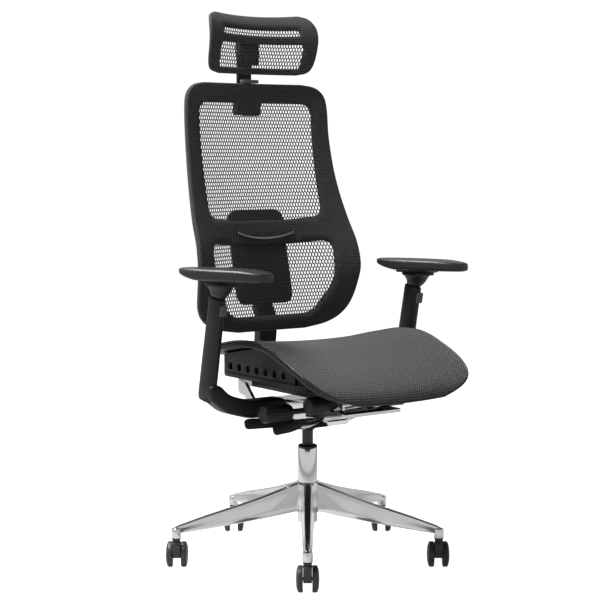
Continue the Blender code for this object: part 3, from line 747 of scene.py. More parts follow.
def grain_group() -> bpy.types.NodeTree:
    """Fine moulded grain with slow blotches: Height and Blotch, both from 0 to 1."""
    known = bpy.data.node_groups.get("moulded_grain")
    if known:
        return known
    tree, given, result = shader_group("moulded_grain", [("Size", "NodeSocketFloat", 900.0)],
                                       [("Height", "NodeSocketFloat", 0),
                                        ("Blotch", "NodeSocketFloat", 0)])
    wires = Wires(tree)
    place = wires.node("ShaderNodeTexCoord").outputs["Object"]
    fine = wires.node("ShaderNodeTexNoise", None, Vector=place, Scale=given.outputs["Size"],
                      Detail=2.0, Roughness=0.6)
    pits = wires.node("ShaderNodeTexVoronoi", None, Vector=place, Scale=given.outputs["Size"])
    slow = wires.node("ShaderNodeTexNoise", None, Vector=place, Scale=9.0, Detail=3.0)
    wires.link(wires.sum("MULTIPLY_ADD", fine.outputs[0], pits.outputs[0]), result.inputs["Height"])
    wires.link(slow.outputs[0], result.inputs["Blotch"])
    return tree


def wipe_group() -> bpy.types.NodeTree:
    """Faint wiping marks and finger smudges on a polished skin: a Mask from 0 to 1."""
    known = bpy.data.node_groups.get("wipe_marks")
    if known:
        return known
    tree, given, result = shader_group("wipe_marks", [("Size", "NodeSocketFloat", 14.0)],
                                       [("Mask", "NodeSocketFloat", 0)])
    wires = Wires(tree)
    place = wires.node("ShaderNodeTexCoord").outputs["Object"]
    blot = wires.node("ShaderNodeTexNoise", None, Vector=place, Scale=given.outputs["Size"],
                      Detail=4.0, Roughness=0.7)
    soft = wires.node("ShaderNodeMapRange", None, Value=blot.outputs[0], _1=0.42, _2=0.72, _3=0.0,
                      _4=1.0)
    wires.link(soft.outputs[0], result.inputs["Mask"])
    return tree


def weave_group() -> bpy.types.NodeTree:
    """Staggered slots of an open net over the cloth UV map: Thread is 1 on yarn and 0 in a slot."""
    known = bpy.data.node_groups.get("net_weave")
    if known:
        return known
    tree, given, result = shader_group("net_weave", [("Across", "NodeSocketFloat", 0.0078),
                                                     ("Up", "NodeSocketFloat", 0.0094)],
                                       [("Thread", "NodeSocketFloat", 0),
                                        ("Height", "NodeSocketFloat", 0),
                                        ("Yarn", "NodeSocketFloat", 0)])
    wires = Wires(tree)
    uv = wires.node("ShaderNodeUVMap", {"uv_map": CLOTH_UV}).outputs[0]
    parts = wires.node("ShaderNodeSeparateXYZ", None, Vector=uv)
    row = wires.sum("DIVIDE", parts.outputs[1], given.outputs["Up"])
    odd = wires.sum("MULTIPLY", wires.sum("FLOORED_MODULO", wires.sum("FLOOR", row), 2.0), 0.5)
    column = wires.sum("ADD", wires.sum("DIVIDE", parts.outputs[0], given.outputs["Across"]), odd)
    sideways = wires.sum("DIVIDE", wires.sum("SUBTRACT", wires.sum("FRACT", column), 0.5), 0.36)
    upwards = wires.sum("DIVIDE", wires.sum("SUBTRACT", wires.sum("FRACT", row), 0.5), 0.42)
    away = wires.sum("SQRT", wires.sum("ADD", wires.sum("MULTIPLY", sideways, sideways),
                                       wires.sum("MULTIPLY", upwards, upwards)))
    thread = wires.node("ShaderNodeMapRange", {"interpolation_type": "SMOOTHSTEP"},
                        Value=away, _1=0.75, _2=1.1, _3=0.0, _4=1.0).outputs[0]
    yarn = wires.node("ShaderNodeTexNoise", None, Vector=uv, Scale=420.0, Detail=2.0)
    wires.link(thread, result.inputs["Thread"])
    wires.link(wires.sum("ADD", thread, wires.sum("MULTIPLY", yarn.outputs[0], 0.3)),
               result.inputs["Height"])
    wires.link(yarn.outputs[0], result.inputs["Yarn"])
    return tree


# ---------------------------------------------------------------- finishes
Colour = tuple[float, float, float]


def started(name: str) -> tuple[bpy.types.Material, Wires, Node]:
    """A new material, its wires and its Principled shader."""
    material = bpy.data.materials.new(name)
    material.use_nodes = True
    return material, Wires(material.node_tree), material.node_tree.nodes["Principled BSDF"]


class Coating:
    """A finish whose material is made once."""

    name: str

    def material(self) -> bpy.types.Material:
        """The finish as a material, made at its first use."""
        return bpy.data.materials.get(self.name) or self.mixed()

    def mixed(self) -> bpy.types.Material:
        """Build the material."""
        raise NotImplementedError(self.name)


@dataclass(frozen=True)
class Moulded(Coating):
    """Grained plastic or soft polyurethane."""

    name: str
    colour: Colour
    light: Colour
    roughness: float
    grain: float = 900.0
    depth: float = 0.00006
    specular: float = 0.35

    def mixed(self) -> bpy.types.Material:
        """Build the material."""
        made, wires, shader = started(self.name)
        grain = wires.node("ShaderNodeGroup", {"node_tree": grain_group()}, Size=self.grain)
        mix = wires.node("ShaderNodeMix", {"data_type": "RGBA"}, _0=grain.outputs["Blotch"],
                         _6=(*self.colour, 1), _7=(*self.light, 1))
        wires.link(mix.outputs[2], shader.inputs["Base Color"])
        rough = wires.node("ShaderNodeMapRange", None, Value=grain.outputs["Blotch"], _1=0.3,
                           _2=0.7, _3=self.roughness - 0.05, _4=self.roughness + 0.06)
        wires.link(rough.outputs[0], shader.inputs["Roughness"])
        bump = wires.node("ShaderNodeBump", None, Strength=0.5, Distance=self.depth,
                          Height=grain.outputs["Height"])
        wires.link(bump.outputs[0], shader.inputs["Normal"])
        shader.inputs["Specular IOR Level"].default_value = self.specular
        return made


@dataclass(frozen=True)
class Bright(Coating):
    """Polished, plated or turned metal."""

    name: str
    colour: Colour
    roughness: float
    marks: float = 0.05
    ripple: float = 0.0

    def mixed(self) -> bpy.types.Material:
        """Build the material."""
        made, wires, shader = started(self.name)
        wipe = wires.node("ShaderNodeGroup", {"node_tree": wipe_group()}, Size=14.0)
        rough = wires.node("ShaderNodeMapRange", None, Value=wipe.outputs["Mask"],
                           _3=self.roughness, _4=self.roughness + self.marks)
        wires.link(rough.outputs[0], shader.inputs["Roughness"])
        dull = tuple(0.93 * part for part in self.colour)
        mix = wires.node("ShaderNodeMix", {"data_type": "RGBA"}, _0=wipe.outputs["Mask"],
                         _6=(*self.colour, 1), _7=(*dull, 1))
        wires.link(mix.outputs[2], shader.inputs["Base Color"])
        if self.ripple:
            grain = wires.node("ShaderNodeGroup", {"node_tree": grain_group()}, Size=60.0)
            bump = wires.node("ShaderNodeBump", None, Strength=0.3, Distance=self.ripple,
                              Height=grain.outputs["Height"])
            wires.link(bump.outputs[0], shader.inputs["Normal"])
        shader.inputs["Metallic"].default_value = 1.0
        return made


@dataclass(frozen=True)
class Woven(Coating):
    """Cloth with the net's staggered slots drawn on it, where it lies on something dark."""

    name: str
    yarn: Colour
    light_yarn: Colour
    gap: Colour
    across: float
    up: float
    depth: float = 0.0004
    sheen: float = 0.1

    def mixed(self) -> bpy.types.Material:
        """Build the material."""
        made, wires, shader = started(self.name)
        weave = wires.node("ShaderNodeGroup", {"node_tree": weave_group()}, Across=self.across,
                           Up=self.up)
        yarn = wires.node("ShaderNodeMix", {"data_type": "RGBA"}, _0=weave.outputs["Yarn"],
                          _6=(*self.yarn, 1), _7=(*self.light_yarn, 1))
        mix = wires.node("ShaderNodeMix", {"data_type": "RGBA"}, _0=weave.outputs["Thread"],
                         _6=(*self.gap, 1), _7=yarn.outputs[2])
        wires.link(mix.outputs[2], shader.inputs["Base Color"])
        bump = wires.node("ShaderNodeBump", None, Strength=0.7, Distance=self.depth,
                          Height=weave.outputs["Height"])
        wires.link(bump.outputs[0], shader.inputs["Normal"])
        shader.inputs["Roughness"].default_value = 0.8
        shader.inputs["Specular IOR Level"].default_value = 0.2
        shader.inputs["Sheen Weight"].default_value = self.sheen
        shader.inputs["Sheen Roughness"].default_value = 0.4
        return made


class Finish(Enum):
    """The chair's finishes, each with the name of the record's material slot that it belongs to."""

    ALUMINIUM = ("polished_aluminium", Bright("aluminium_polished", (0.80, 0.80, 0.81), 0.12, 0.06))
    CHROME = ("chrome", Bright("chrome_plate", (0.86, 0.86, 0.87), 0.09, 0.04))
    DARK_STEEL = ("black_steel", Bright("steel_blackened", (0.07, 0.07, 0.075), 0.22, 0.08))
    SMOKED = ("black_steel", Bright("steel_smoked", (0.22, 0.22, 0.23), 0.20, 0.08))
    STEEL = ("spring_steel", Bright("steel_bare", (0.56, 0.56, 0.57), 0.25, 0.1))
    BLACK = ("black_plastic", Moulded("plastic_black", (0.011, 0.011, 0.012), (0.017, 0.017, 0.018),
                                      0.42))
    GLOSS = ("black_plastic", Moulded("plastic_black_gloss", (0.008, 0.008, 0.009),
                                      (0.012, 0.012, 0.013), 0.16, depth=0.00001, specular=0.5))
    GREY = ("grey_plastic", Moulded("plastic_grey", (0.085, 0.085, 0.09), (0.115, 0.115, 0.12),
                                    0.38))
    DEEP = ("grey_plastic", Moulded("plastic_lumbar", (0.020, 0.020, 0.022), (0.028, 0.028, 0.030),
                                    0.50))
    WHEEL = ("wheel_pu", Moulded("wheel_cover", (0.042, 0.042, 0.045), (0.060, 0.060, 0.063), 0.36))
    TREAD = ("wheel_pu", Moulded("wheel_tread", (0.105, 0.105, 0.11), (0.135, 0.135, 0.14), 0.50,
                                 grain=500.0))
    PAD = ("soft_pu", Moulded("pad_soft", (0.017, 0.017, 0.018), (0.026, 0.026, 0.027), 0.36,
                              grain=1300.0, depth=0.00005, specular=0.5))
    NET = ("back_mesh", Moulded("net_yarn", (0.026, 0.026, 0.028), (0.050, 0.050, 0.053), 0.58,
                                grain=2200.0, depth=0.0001, specular=0.3))
    HEM = ("back_mesh", Woven("net_over_frame", (0.036, 0.036, 0.038), (0.120, 0.120, 0.125),
                              (0.007, 0.007, 0.008), 0.0039, 0.0047))
    SEAT_CLOTH = ("seat_mesh", Woven("seat_knit", (0.030, 0.030, 0.032), (0.165, 0.165, 0.170),
                                     (0.006, 0.006, 0.007), 0.0066, 0.0062, 0.0010, 0.35))

    @property
    def slot(self) -> str:
        """The record's material slot."""
        return self.value[0]

    @property
    def material(self) -> bpy.types.Material:
        """The finish's Blender material."""
        return self.value[1].material()


# ---------------------------------------------------------------- finished pieces
def finished(name: str, work: Work, finish: Finish, body: str, stands_for: Iterable[str] = (),
             crease: float = 38.0, second: tuple[Finish, FaceTest] | None = None) -> Piece:
    """Put a working mesh into the row frame as a piece of the chair.

    Args:
        name: the piece's name.
        work: its mesh in the chair's coordinates.
        finish: its finish.
        body: the CAD body that it rides on.
        stands_for: the CAD nodes that it replaces.
        crease: edges sharper than this many degrees stay sharp.
        second: another finish, and which face middles take it.

    Returns:
        The piece.
    """
    if second:
        for face in work.faces:
            face.material_index = int(second[1](face.calc_center_median()))
    bmesh.ops.translate(work, verts=work.verts, vec=(0, AXIS_Y, 0))
    piece = as_object(name, work)
    return dressed(piece, [finish] + ([second[0]] if second else []), body, stands_for, crease)


def dressed(piece: Piece, finishes: list[Finish], body: str, stands_for: Iterable[str] = (),
            crease: float = 38.0) -> Piece:
    """Shade a piece, give it its finishes and hang it on its body.

    Args:
        piece: the piece's object, in the row frame.
        finishes: its finishes, the main one first.
        body: the CAD body that it rides on.
        stands_for: the CAD nodes that it replaces.
        crease: edges sharper than this many degrees stay sharp.

    Returns:
        The piece.
    """
    piece.data.materials.clear()
    for finish in finishes:
        piece.data.materials.append(finish.material)
    piece.data.shade_smooth()
    piece.data.set_sharp_from_angle(angle=math.radians(crease))
    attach(piece, body)
    if stands_for:
        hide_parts(*stands_for)
    log.info("%s: %d faces on %s", piece.name, len(piece.data.polygons), body)
    return piece


def refined(name: str, node: str, finish: Finish, body: str, bevel: float = 0.0012) -> Piece:
    """A copy of a CAD node with welded faces and softened edges.

    Args:
        name: the new piece's name.
        node: the CAD node that it copies and replaces.
        finish: its finish.
        body: the CAD body that it rides on.
        bevel: width of the softened edges.

    Returns:
        The piece.
    """
    work = bmesh.new()
    work.from_mesh(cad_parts[node].data)
    bmesh.ops.remove_doubles(work, verts=work.verts, dist=0.00001)
    bmesh.ops.dissolve_limit(work, angle_limit=math.radians(1.0), verts=work.verts,
                             edges=work.edges)
    piece = as_object(name, work)
    softened = piece.modifiers.new("soft edges", "BEVEL")
    softened.width, softened.segments, softened.limit_method = bevel, 3, "ANGLE"
    softened.angle_limit = math.radians(32)
    softened.use_clamp_overlap = softened.harden_normals = True
    return dressed(piece, [finish], body, [node], 60.0)


# ---------------------------------------------------------------- geometry node trees
class NodeMaker:
    """Builds one geometry node tree, runs it and gives the plain mesh."""

    def __init__(self, name: str, sockets: Sequence[tuple[str, str]]) -> None:
        """Start a tree with named inputs, given as (name, type)."""
        self.tree = bpy.data.node_groups.new(name, "GeometryNodeTree")
        for label, kind in sockets:
            self.tree.interface.new_socket(name=label, in_out="INPUT", socket_type=kind)
        self.tree.interface.new_socket(name="Geometry", in_out="OUTPUT",
                                       socket_type="NodeSocketGeometry")
        self.wires = Wires(self.tree)
        self.given = self.tree.nodes.new("NodeGroupInput")
        self.result = self.tree.nodes.new("NodeGroupOutput")

    def close(self, geometry: Socket) -> None:
        """End the tree in Realize Instances, a weld and Set Material."""
        real = self.wires.node("GeometryNodeRealizeInstances", None, _0=geometry)
        welded = self.wires.node("GeometryNodeMergeByDistance", None, Geometry=real.outputs[0],
                                 Distance=0.00004)
        coloured = self.wires.node("GeometryNodeSetMaterial", None, Geometry=welded.outputs[0],
                                   Material=self.given.outputs["Material"])
        self.wires.link(coloured.outputs[0], self.result.inputs[0])

    def run(self, values: dict[str, object]) -> Work:
        """Evaluate the tree on an empty host.

        Args:
            values: the inputs by name.

        Returns:
            The result as a working mesh.
        """
        host = bpy.data.objects.new("host", bpy.data.meshes.new("host"))
        bpy.context.scene.collection.objects.link(host)
        modifier = host.modifiers.new("nodes", "NODES")
        modifier.node_group = self.tree
        for item in self.tree.interface.items_tree:
            if item.in_out == "INPUT" and item.name in values:
                modifier[item.identifier] = values[item.name]
        applied(host)
        work = bmesh.new()
        work.from_mesh(host.data)
        bpy.data.objects.remove(host)
        return work


@dataclass(frozen=True)
class Net:
    """An open net of staggered slots, made flat and then laid on a surface."""

    across: float = 0.0078
    up: float = 0.0094
    upright_yarn: float = 0.0029
    slanting_yarn: float = 0.0025
    thickness: float = 0.0009

    def cell(self) -> Piece:
        """One six-sided ring of yarn round a slot."""
        rise = self.up * 0.27
        tall = self.up - rise
        outer = [(0, tall), (self.across / 2, rise), (self.across / 2, -rise), (0, -tall),
                 (-self.across / 2, -rise), (-self.across / 2, rise)]
        side = self.across / 2 - self.upright_yarn / 2
        slope = (tall - rise) / (self.across / 2)
        drop = self.slanting_yarn / 2 * math.hypot(1, slope)
        low = rise + self.upright_yarn / 2 * slope - drop
        inner = [(0, tall - drop), (side, low), (side, -low), (0, -tall + drop), (-side, -low),
                 (-side, low)]
        work = bmesh.new()
        rings = [[work.verts.new((x, y, 0)) for x, y in ring] for ring in (outer, inner)]
        for i in range(6):
            j = (i + 1) % 6
            work.faces.new((rings[0][i], rings[1][i], rings[1][j], rings[0][j]))
        return as_object("net_cell", work)

    def tree(self) -> NodeMaker:
        """The node tree that repeats the cell in staggered rows."""
        maker = NodeMaker("net_rows", [("Columns", "NodeSocketInt"), ("Rows", "NodeSocketInt"),
                                       ("Across", "NodeSocketFloat"), ("Up", "NodeSocketFloat"),
                                       ("Cell", "NodeSocketObject"),
                                       ("Material", "NodeSocketMaterial")])
        wires, given = maker.wires, maker.given.outputs
        wide = wires.sum("MULTIPLY", wires.sum("SUBTRACT", given["Columns"], 1.0), given["Across"])
        high = wires.sum("MULTIPLY", wires.sum("SUBTRACT", given["Rows"], 1.0), given["Up"])
        grid = wires.node("GeometryNodeMeshGrid", None, Size_X=wide, Size_Y=high,
                          Vertices_X=given["Columns"], Vertices_Y=given["Rows"])
        spot = wires.node("ShaderNodeSeparateXYZ", None,
                          _0=wires.node("GeometryNodeInputPosition").outputs[0])
        row = wires.sum("ROUND", wires.sum("DIVIDE", spot.outputs[1], given["Up"]))
        shift = wires.sum("MULTIPLY", wires.sum("FLOORED_MODULO", row, 2.0),
                          wires.sum("MULTIPLY", given["Across"], 0.5))
        offset = wires.node("ShaderNodeCombineXYZ", None, _0=shift)
        moved = wires.node("GeometryNodeSetPosition", None, Geometry=grid.outputs[0],
                           Offset=offset.outputs[0])
        cell = wires.node("GeometryNodeObjectInfo", None, Object=given["Cell"])
        placed = wires.node("GeometryNodeInstanceOnPoints", None, Points=moved.outputs[0],
                            Instance=cell.outputs["Geometry"])
        maker.close(placed.outputs[0])
        return maker

    def laid(self, name: str, regions: list[Loop], surface: Surface, depth: float, body: str,
             finish: Finish = Finish.NET) -> Piece:
        """Lay the net on a surface, kept to some regions.

        Args:
            name: the piece's name.
            regions: closed flat loops that the net fills.
            surface: what it is laid on.
            depth: distance of the net's middle from the surface.
            body: the CAD body that it rides on.
            finish: the yarn's finish.

        Returns:
            The net, with its thickness on it.
        """
        spots = [point for region in regions for point in region]
        low = Vector((min(p.x for p in spots), min(p.y for p in spots)))
        high = Vector((max(p.x for p in spots), max(p.y for p in spots)))
        centre = (low + high) / 2
        columns = 2 * math.ceil((high.x - low.x) / 2 / self.across) + 3
        rows = 2 * math.ceil((high.y - low.y) / 2 / self.up) + 3
        cell = self.cell()
        work = self.tree().run({"Columns": columns, "Rows": rows, "Across": self.across,
                                "Up": self.up, "Cell": cell, "Material": finish.material})
        bpy.data.objects.remove(cell)
        bmesh.ops.translate(work, verts=work.verts, vec=(*centre, 0))
        keep = {v: any(inside(v.co.xy, region) for region in regions) for v in work.verts}
        gone = [face for face in work.faces if not all(keep[v] for v in face.verts)]
        bmesh.ops.delete(work, geom=gone, context="FACES")
        layer = work.loops.layers.uv.new(CLOTH_UV)
        for face in work.faces:
            for corner in face.loops:
                corner[layer].uv = corner.vert.co.xy
        for vert in work.verts:
            vert.co = surface.at(vert.co.x, vert.co.y, depth)
        piece = finished(name, work, finish, body, crease=60.0)
        thick = piece.modifiers.new("yarn", "SOLIDIFY")
        thick.thickness, thick.offset = self.thickness, 0.0
        return piece


def coil_tree() -> NodeMaker:
    """The node tree of a coil spring: a wire swept along a spiral."""
    maker = NodeMaker("coil", [("Turns", "NodeSocketFloat"), ("Radius", "NodeSocketFloat"),
                               ("Length", "NodeSocketFloat"), ("Wire", "NodeSocketFloat"),
                               ("Material", "NodeSocketMaterial")])
    wires, given = maker.wires, maker.given.outputs
    spiral = wires.node("GeometryNodeCurveSpiral", None, Resolution=24, Rotations=given["Turns"],
                        Start_Radius=given["Radius"], End_Radius=given["Radius"],
                        Height=given["Length"])
    ring = wires.node("GeometryNodeCurvePrimitiveCircle", None, Resolution=10, Radius=given["Wire"])
    wire = wires.node("GeometryNodeCurveToMesh", None, Curve=spiral.outputs[0],
                      Profile_Curve=ring.outputs[0])
    wire.inputs["Fill Caps"].default_value = True
    maker.close(wire.outputs[0])
    return maker


def row_tree() -> NodeMaker:
    """The node tree that repeats one shape along a line: ribs, screws or studs."""
    maker = NodeMaker("row_of_shapes", [("Count", "NodeSocketInt"), ("Step", "NodeSocketVector"),
                                        ("Start", "NodeSocketVector"),
                                        ("Shape", "NodeSocketObject"),
                                        ("Material", "NodeSocketMaterial")])
    wires, given = maker.wires, maker.given.outputs
    line = wires.node("GeometryNodeMeshLine", None, Count=given["Count"],
                      Start_Location=given["Start"], Offset=given["Step"])
    shape = wires.node("GeometryNodeObjectInfo", None, Object=given["Shape"])
    placed = wires.node("GeometryNodeInstanceOnPoints", None, Points=line.outputs[0],
                        Instance=shape.outputs["Geometry"])
    maker.close(placed.outputs[0])
    return maker


def row_of(shape: Work, start: Vector, step: Vector, count: int, finish: Finish) -> Work:
    """Repeat a working mesh along a line.

    Args:
        shape: what is repeated, about its own origin.
        start: where the first one stands.
        step: from one to the next.
        count: how many there are.
        finish: the finish of the row.

    Returns:
        All of them as one working mesh.
    """
    source = as_object("row_shape", shape)
    work = row_tree().run({"Count": count, "Step": step, "Start": start, "Shape": source,
                           "Material": finish.material})
    bpy.data.objects.remove(source)
    return work


# ---------------------------------------------------------------- base
def heading(angle: float, radius: float, height: float = 0.0) -> Vector:
    """A point at an angle from straight ahead and a distance from the swivel axis."""
    return Vector((math.sin(angle) * radius, -math.cos(angle) * radius, height))


@dataclass
class StarBase:
    """The cast five-star base."""

    count: int = LEG_COUNT
    first: float = math.radians(FIRST_LEG)
    tip: float = LEG_TIP
    hub_top: float = 0.200
    hub_bottom: float = 0.124
    bore: float = 0.0259
    root: float = 0.026
    tip_round: float = 0.010
    foot_width: Point2 = (0.037, 0.0205)
    ridge_width: Point2 = (0.0215, 0.0125)
    underside: Point2 = (0.128, 0.0885)
    ridge_height: Point2 = (0.199, 0.1045)
    bow: float = 0.0035

    @staticmethod
    def between(ends: Point2, far: float) -> float:
        """The measure at a share of the way from the hub to the tip."""
        return ends[0] + (ends[1] - ends[0]) * far

    def leg(self, angle: float) -> Work:
        """One leg: tall flat sides that lean in to a rounded ridge.

        Args:
            angle: the leg's heading.

        Returns:
            The working mesh.
        """
        placing = Matrix.Rotation(angle - math.radians(90), 4, "Z")
        rings = []
        stations = [0.0, 0.03, 0.08, 0.16, 0.26, 0.38, 0.5, 0.62, 0.74, 0.86, 0.94, 0.97, 0.99, 1.0]
        for far in stations:
            nose = max(0.0, (far - 0.94) / 0.06)
            shrink = math.sqrt(max(0.0, 1 - (nose * 0.97) ** 2))
            base = 0.5 * self.between(self.foot_width, far) * shrink
            ridge = 0.5 * self.between(self.ridge_width, far) * shrink
            low = self.between(self.underside, far) - self.bow * math.sin(math.pi * far)
            dip = self.bow * math.sin(math.pi * min(1.0, far * 1.4))
            high = self.between(self.ridge_height, far) - dip - 0.004 * nose ** 2
            x = self.root + far * (self.tip + self.tip_round - self.root)
            half = [(base - 0.003, low), (base - 0.0008, low + 0.0006), (base, low + 0.0035)]
            tall = high - low
            half += [(base + (ridge - base) * s, low + 0.0035 + (tall - 0.0095) * s)
                     for s in (0.33, 0.66, 1.0)]
            half += [(ridge * 0.985, high - 0.0035), (ridge * 0.93, high - 0.0016),
                     (ridge * 0.82, high - 0.0005), (ridge * 0.50, high), (0.0, high + 0.0002)]
            other = [(-y, z) for y, z in reversed(half[:-1])]
            rings.append([placing @ Vector((x, y, z)) for y, z in half + other])
        return lofted(rings)

    def build(self) -> None:
        """Make the base as one casting."""
        hub = turned(((self.bore, self.hub_bottom), (0.034, self.hub_bottom), (0.0365, 0.1255),
                      (0.0372, 0.129), (0.0370, 0.150), (0.0345, 0.178), (0.0322, 0.192),
                      (0.0308, 0.1985), (0.0296, self.hub_top), (self.bore, self.hub_top)),
                     segments=72)
        bodies = [hub]
        for index in range(self.count):
            angle = self.first + index * 2 * math.pi / self.count
            foot = heading(angle, self.tip)
            bodies.append(self.leg(angle))
            bodies.append(turned(((0.0058, 0.078), (0.0112, 0.078), (0.0120, 0.0788),
                                  (0.0122, 0.081), (0.0122, 0.0985), (0.0112, 0.1015),
                                  (0.0085, 0.103), (0.0058, 0.103)), Matrix.Translation(foot), 40))
        finished("star_casting", fused(bodies), Finish.ALUMINIUM, "base", ["star_base"], 34.0)


@dataclass
class GasLift:
    """Outer tube, guide bush and piston rod."""

    tube: float = 0.025
    inside: float = 0.0212
    rod: float = 0.014
    bottom: float = 0.096
    top: float = 0.288

    def build(self) -> None:
        """Make the three turned pieces."""
        finished("lift_tube", turned(((0, self.bottom), (0.0228, self.bottom),
                                      (0.0246, self.bottom + 0.0008),
                                      (self.tube, self.bottom + 0.003),
                                      (self.tube, self.top - 0.0016), (0.0245, self.top - 0.0003),
                                      (0.0238, self.top), (self.inside, self.top),
                                      (self.inside, self.bottom + 0.004), (0, self.bottom + 0.004)),
                                     segments=72), Finish.CHROME, "base", ["gas_cylinder"])
        bore = self.rod + 0.0006
        finished("lift_bush", turned(((bore, 0.205), (0.0209, 0.205), (0.0209, 0.2883),
                                      (0.0243, 0.2883), (0.0247, 0.2890), (0.0247, 0.2915),
                                      (0.0240, 0.2930), (0.0226, 0.2945), (0.0200, 0.2949),
                                      (bore, 0.2949)), segments=64), Finish.GLOSS, "base",
                 ["guide_bush"])
        finished("lift_rod", turned(((0, 0.145), (0.0120, 0.145), (self.rod, 0.147),
                                     (self.rod, 0.3715), (0.0132, 0.3735), (0.0118, 0.3755),
                                     (0, 0.376)), segments=56), Finish.DARK_STEEL, "lift",
                 ["gas_piston"])


@dataclass
class Casters:
    """Five twin-wheel casters."""

    count: int = LEG_COUNT
    tip: float = LEG_TIP
    radius: float = 0.032
    spacing: float = 0.039
    width: float = 0.0165
    trail: float = 0.020
    cover: float = 0.0283
    direction: float = math.radians(FIRST_LEG)

    def on_tread(self, axle: Vector, side: Vector) -> FaceTest:
        """Tell the tread from the cover.

        Args:
            axle: the wheel's middle.
            side: the axle's direction.

        Returns:
            A test of a face's middle.
        """

        def test(middle: Vector) -> bool:
            """Whether the place stands outside the cover."""
            return ((middle - axle) - side * (middle - axle).dot(side)).length > self.cover

        return test

    def wheel(self, axle: Vector, outward: Vector) -> Work:
        """One wheel: rounded tread, a groove and a domed cover.

        Args:
            axle: the middle of the caster's axle.
            outward: from the hood to this wheel.

        Returns:
            The working mesh.
        """
        inner = self.spacing / 2 - self.width / 2
        profile = ((0.0043, inner), (0.0190, inner), (0.0205, inner + 0.0012),
                   (0.0270, inner + 0.0012), (0.0282, inner), (0.0305, inner),
                   (0.0316, inner + 0.0008), (self.radius, inner + 0.0026),
                   (self.radius, inner + 0.0088), (0.0315, inner + 0.0107),
                   (0.0302, inner + 0.0121), (0.0288, inner + 0.0128), (0.0279, inner + 0.0128),
                   (0.0275, inner + 0.0120), (0.0269, inner + 0.0122), (0.0265, inner + 0.0135),
                   (0.0220, inner + 0.0150), (0.0150, inner + 0.0160), (0.0090, inner + 0.0163),
                   (0.0078, inner + 0.0163), (0.0074, inner + 0.0156), (0.0066, inner + 0.0156),
                   (0.0062, inner + 0.0164), (0.0030, inner + 0.01655), (0, inner + 0.0166),
                   (0, self.spacing / 2 + 0.0026), (0.0043, self.spacing / 2 + 0.0026))
        turn = outward.to_track_quat("Z", "Y").to_matrix().to_4x4()
        return turned(profile, Matrix.Translation(axle) @ turn, 48)

    def hood(self, foot: Vector, axle: Vector, side: Vector) -> Work:
        """The body between the wheels with its collar round the stem.

        Args:
            foot: the stem's place on the floor.
            axle: the middle of the axle.
            side: the axle's direction.

        Returns:
            The working mesh.
        """
        back = Vector((axle.x - foot.x, axle.y - foot.y, 0)).normalized()
        outline = [(-0.0118, 0.0670), (-0.0118, 0.046), (-0.007, 0.029), (0.006, 0.0240),
                   (0.034, 0.0240), (0.0438, 0.034), (0.0418, 0.047), (0.030, 0.0590),
                   (0.012, 0.0670)]
        below = Matrix.Translation((foot.x, foot.y, 0))
        placing = below @ Matrix((back, (0, 0, 1), side)).transposed().to_4x4()
        body = plate(rounded(outline, 0.007, 0.0025), [], flat_surface(placing), 0.0105, -0.0105,
                     Edge(0.0022, 4), 0.010)
        reach = self.spacing / 2 + 0.002
        turn = side.to_track_quat("Z", "Y").to_matrix().to_4x4()
        stub = turned(((0, -reach), (0.0038, -reach), (0.0041, -reach + 0.0004),
                       (0.0041, reach - 0.0004), (0.0038, reach), (0, reach)),
                      Matrix.Translation(axle) @ turn, 24)
        collar = turned(((0.0058, 0.0640), (0.0112, 0.0640), (0.0118, 0.0655), (0.0118, 0.0668),
                         (0.0110, 0.0682), (0.0058, 0.0682)), below, 36)
        return fused([body, collar, stub])

    def build(self) -> None:
        """Make every stem, hood and wheel."""
        side = Vector((math.cos(self.direction), math.sin(self.direction), 0))
        for index in range(self.count):
            number = str(index + 1)
            foot = heading(math.radians(FIRST_LEG + index * 360 // self.count), self.tip)
            axle = foot + heading(self.direction, -self.trail, self.radius)
            stem = turned(((0, 0.0625), (0.0052, 0.0625), (0.0055, 0.063), (0.0055, 0.0685),
                           (0.0104, 0.0685), (0.0110, 0.0692), (0.0110, 0.0700), (0.0092, 0.0704),
                           (0.0092, 0.0736), (0.0110, 0.0740), (0.0112, 0.0752), (0.0112, 0.0772),
                           (0.0106, 0.0777), (0.0055, 0.0777), (0.0055, 0.097), (0.0050, 0.098),
                           (0, 0.098)), Matrix.Translation(foot), 36)
            finished("stem_" + number, stem, Finish.GLOSS, "caster_" + number,
                     ["caster_stem_" + number])
            finished("hood_" + number, self.hood(foot, axle, side), Finish.WHEEL, "caster_"
                     + number, ["caster_hood_" + number], 34.0)
            for label, way in (("left", 1), ("right", -1)):
                finished(f"wheel_{number}_{label}_twin", self.wheel(axle, side * way), Finish.WHEEL,
                         f"wheel_{number}_{label}", [f"caster_wheel_{number}_{label}"], 30.0,
                         (Finish.TREAD, self.on_tread(axle, side)))


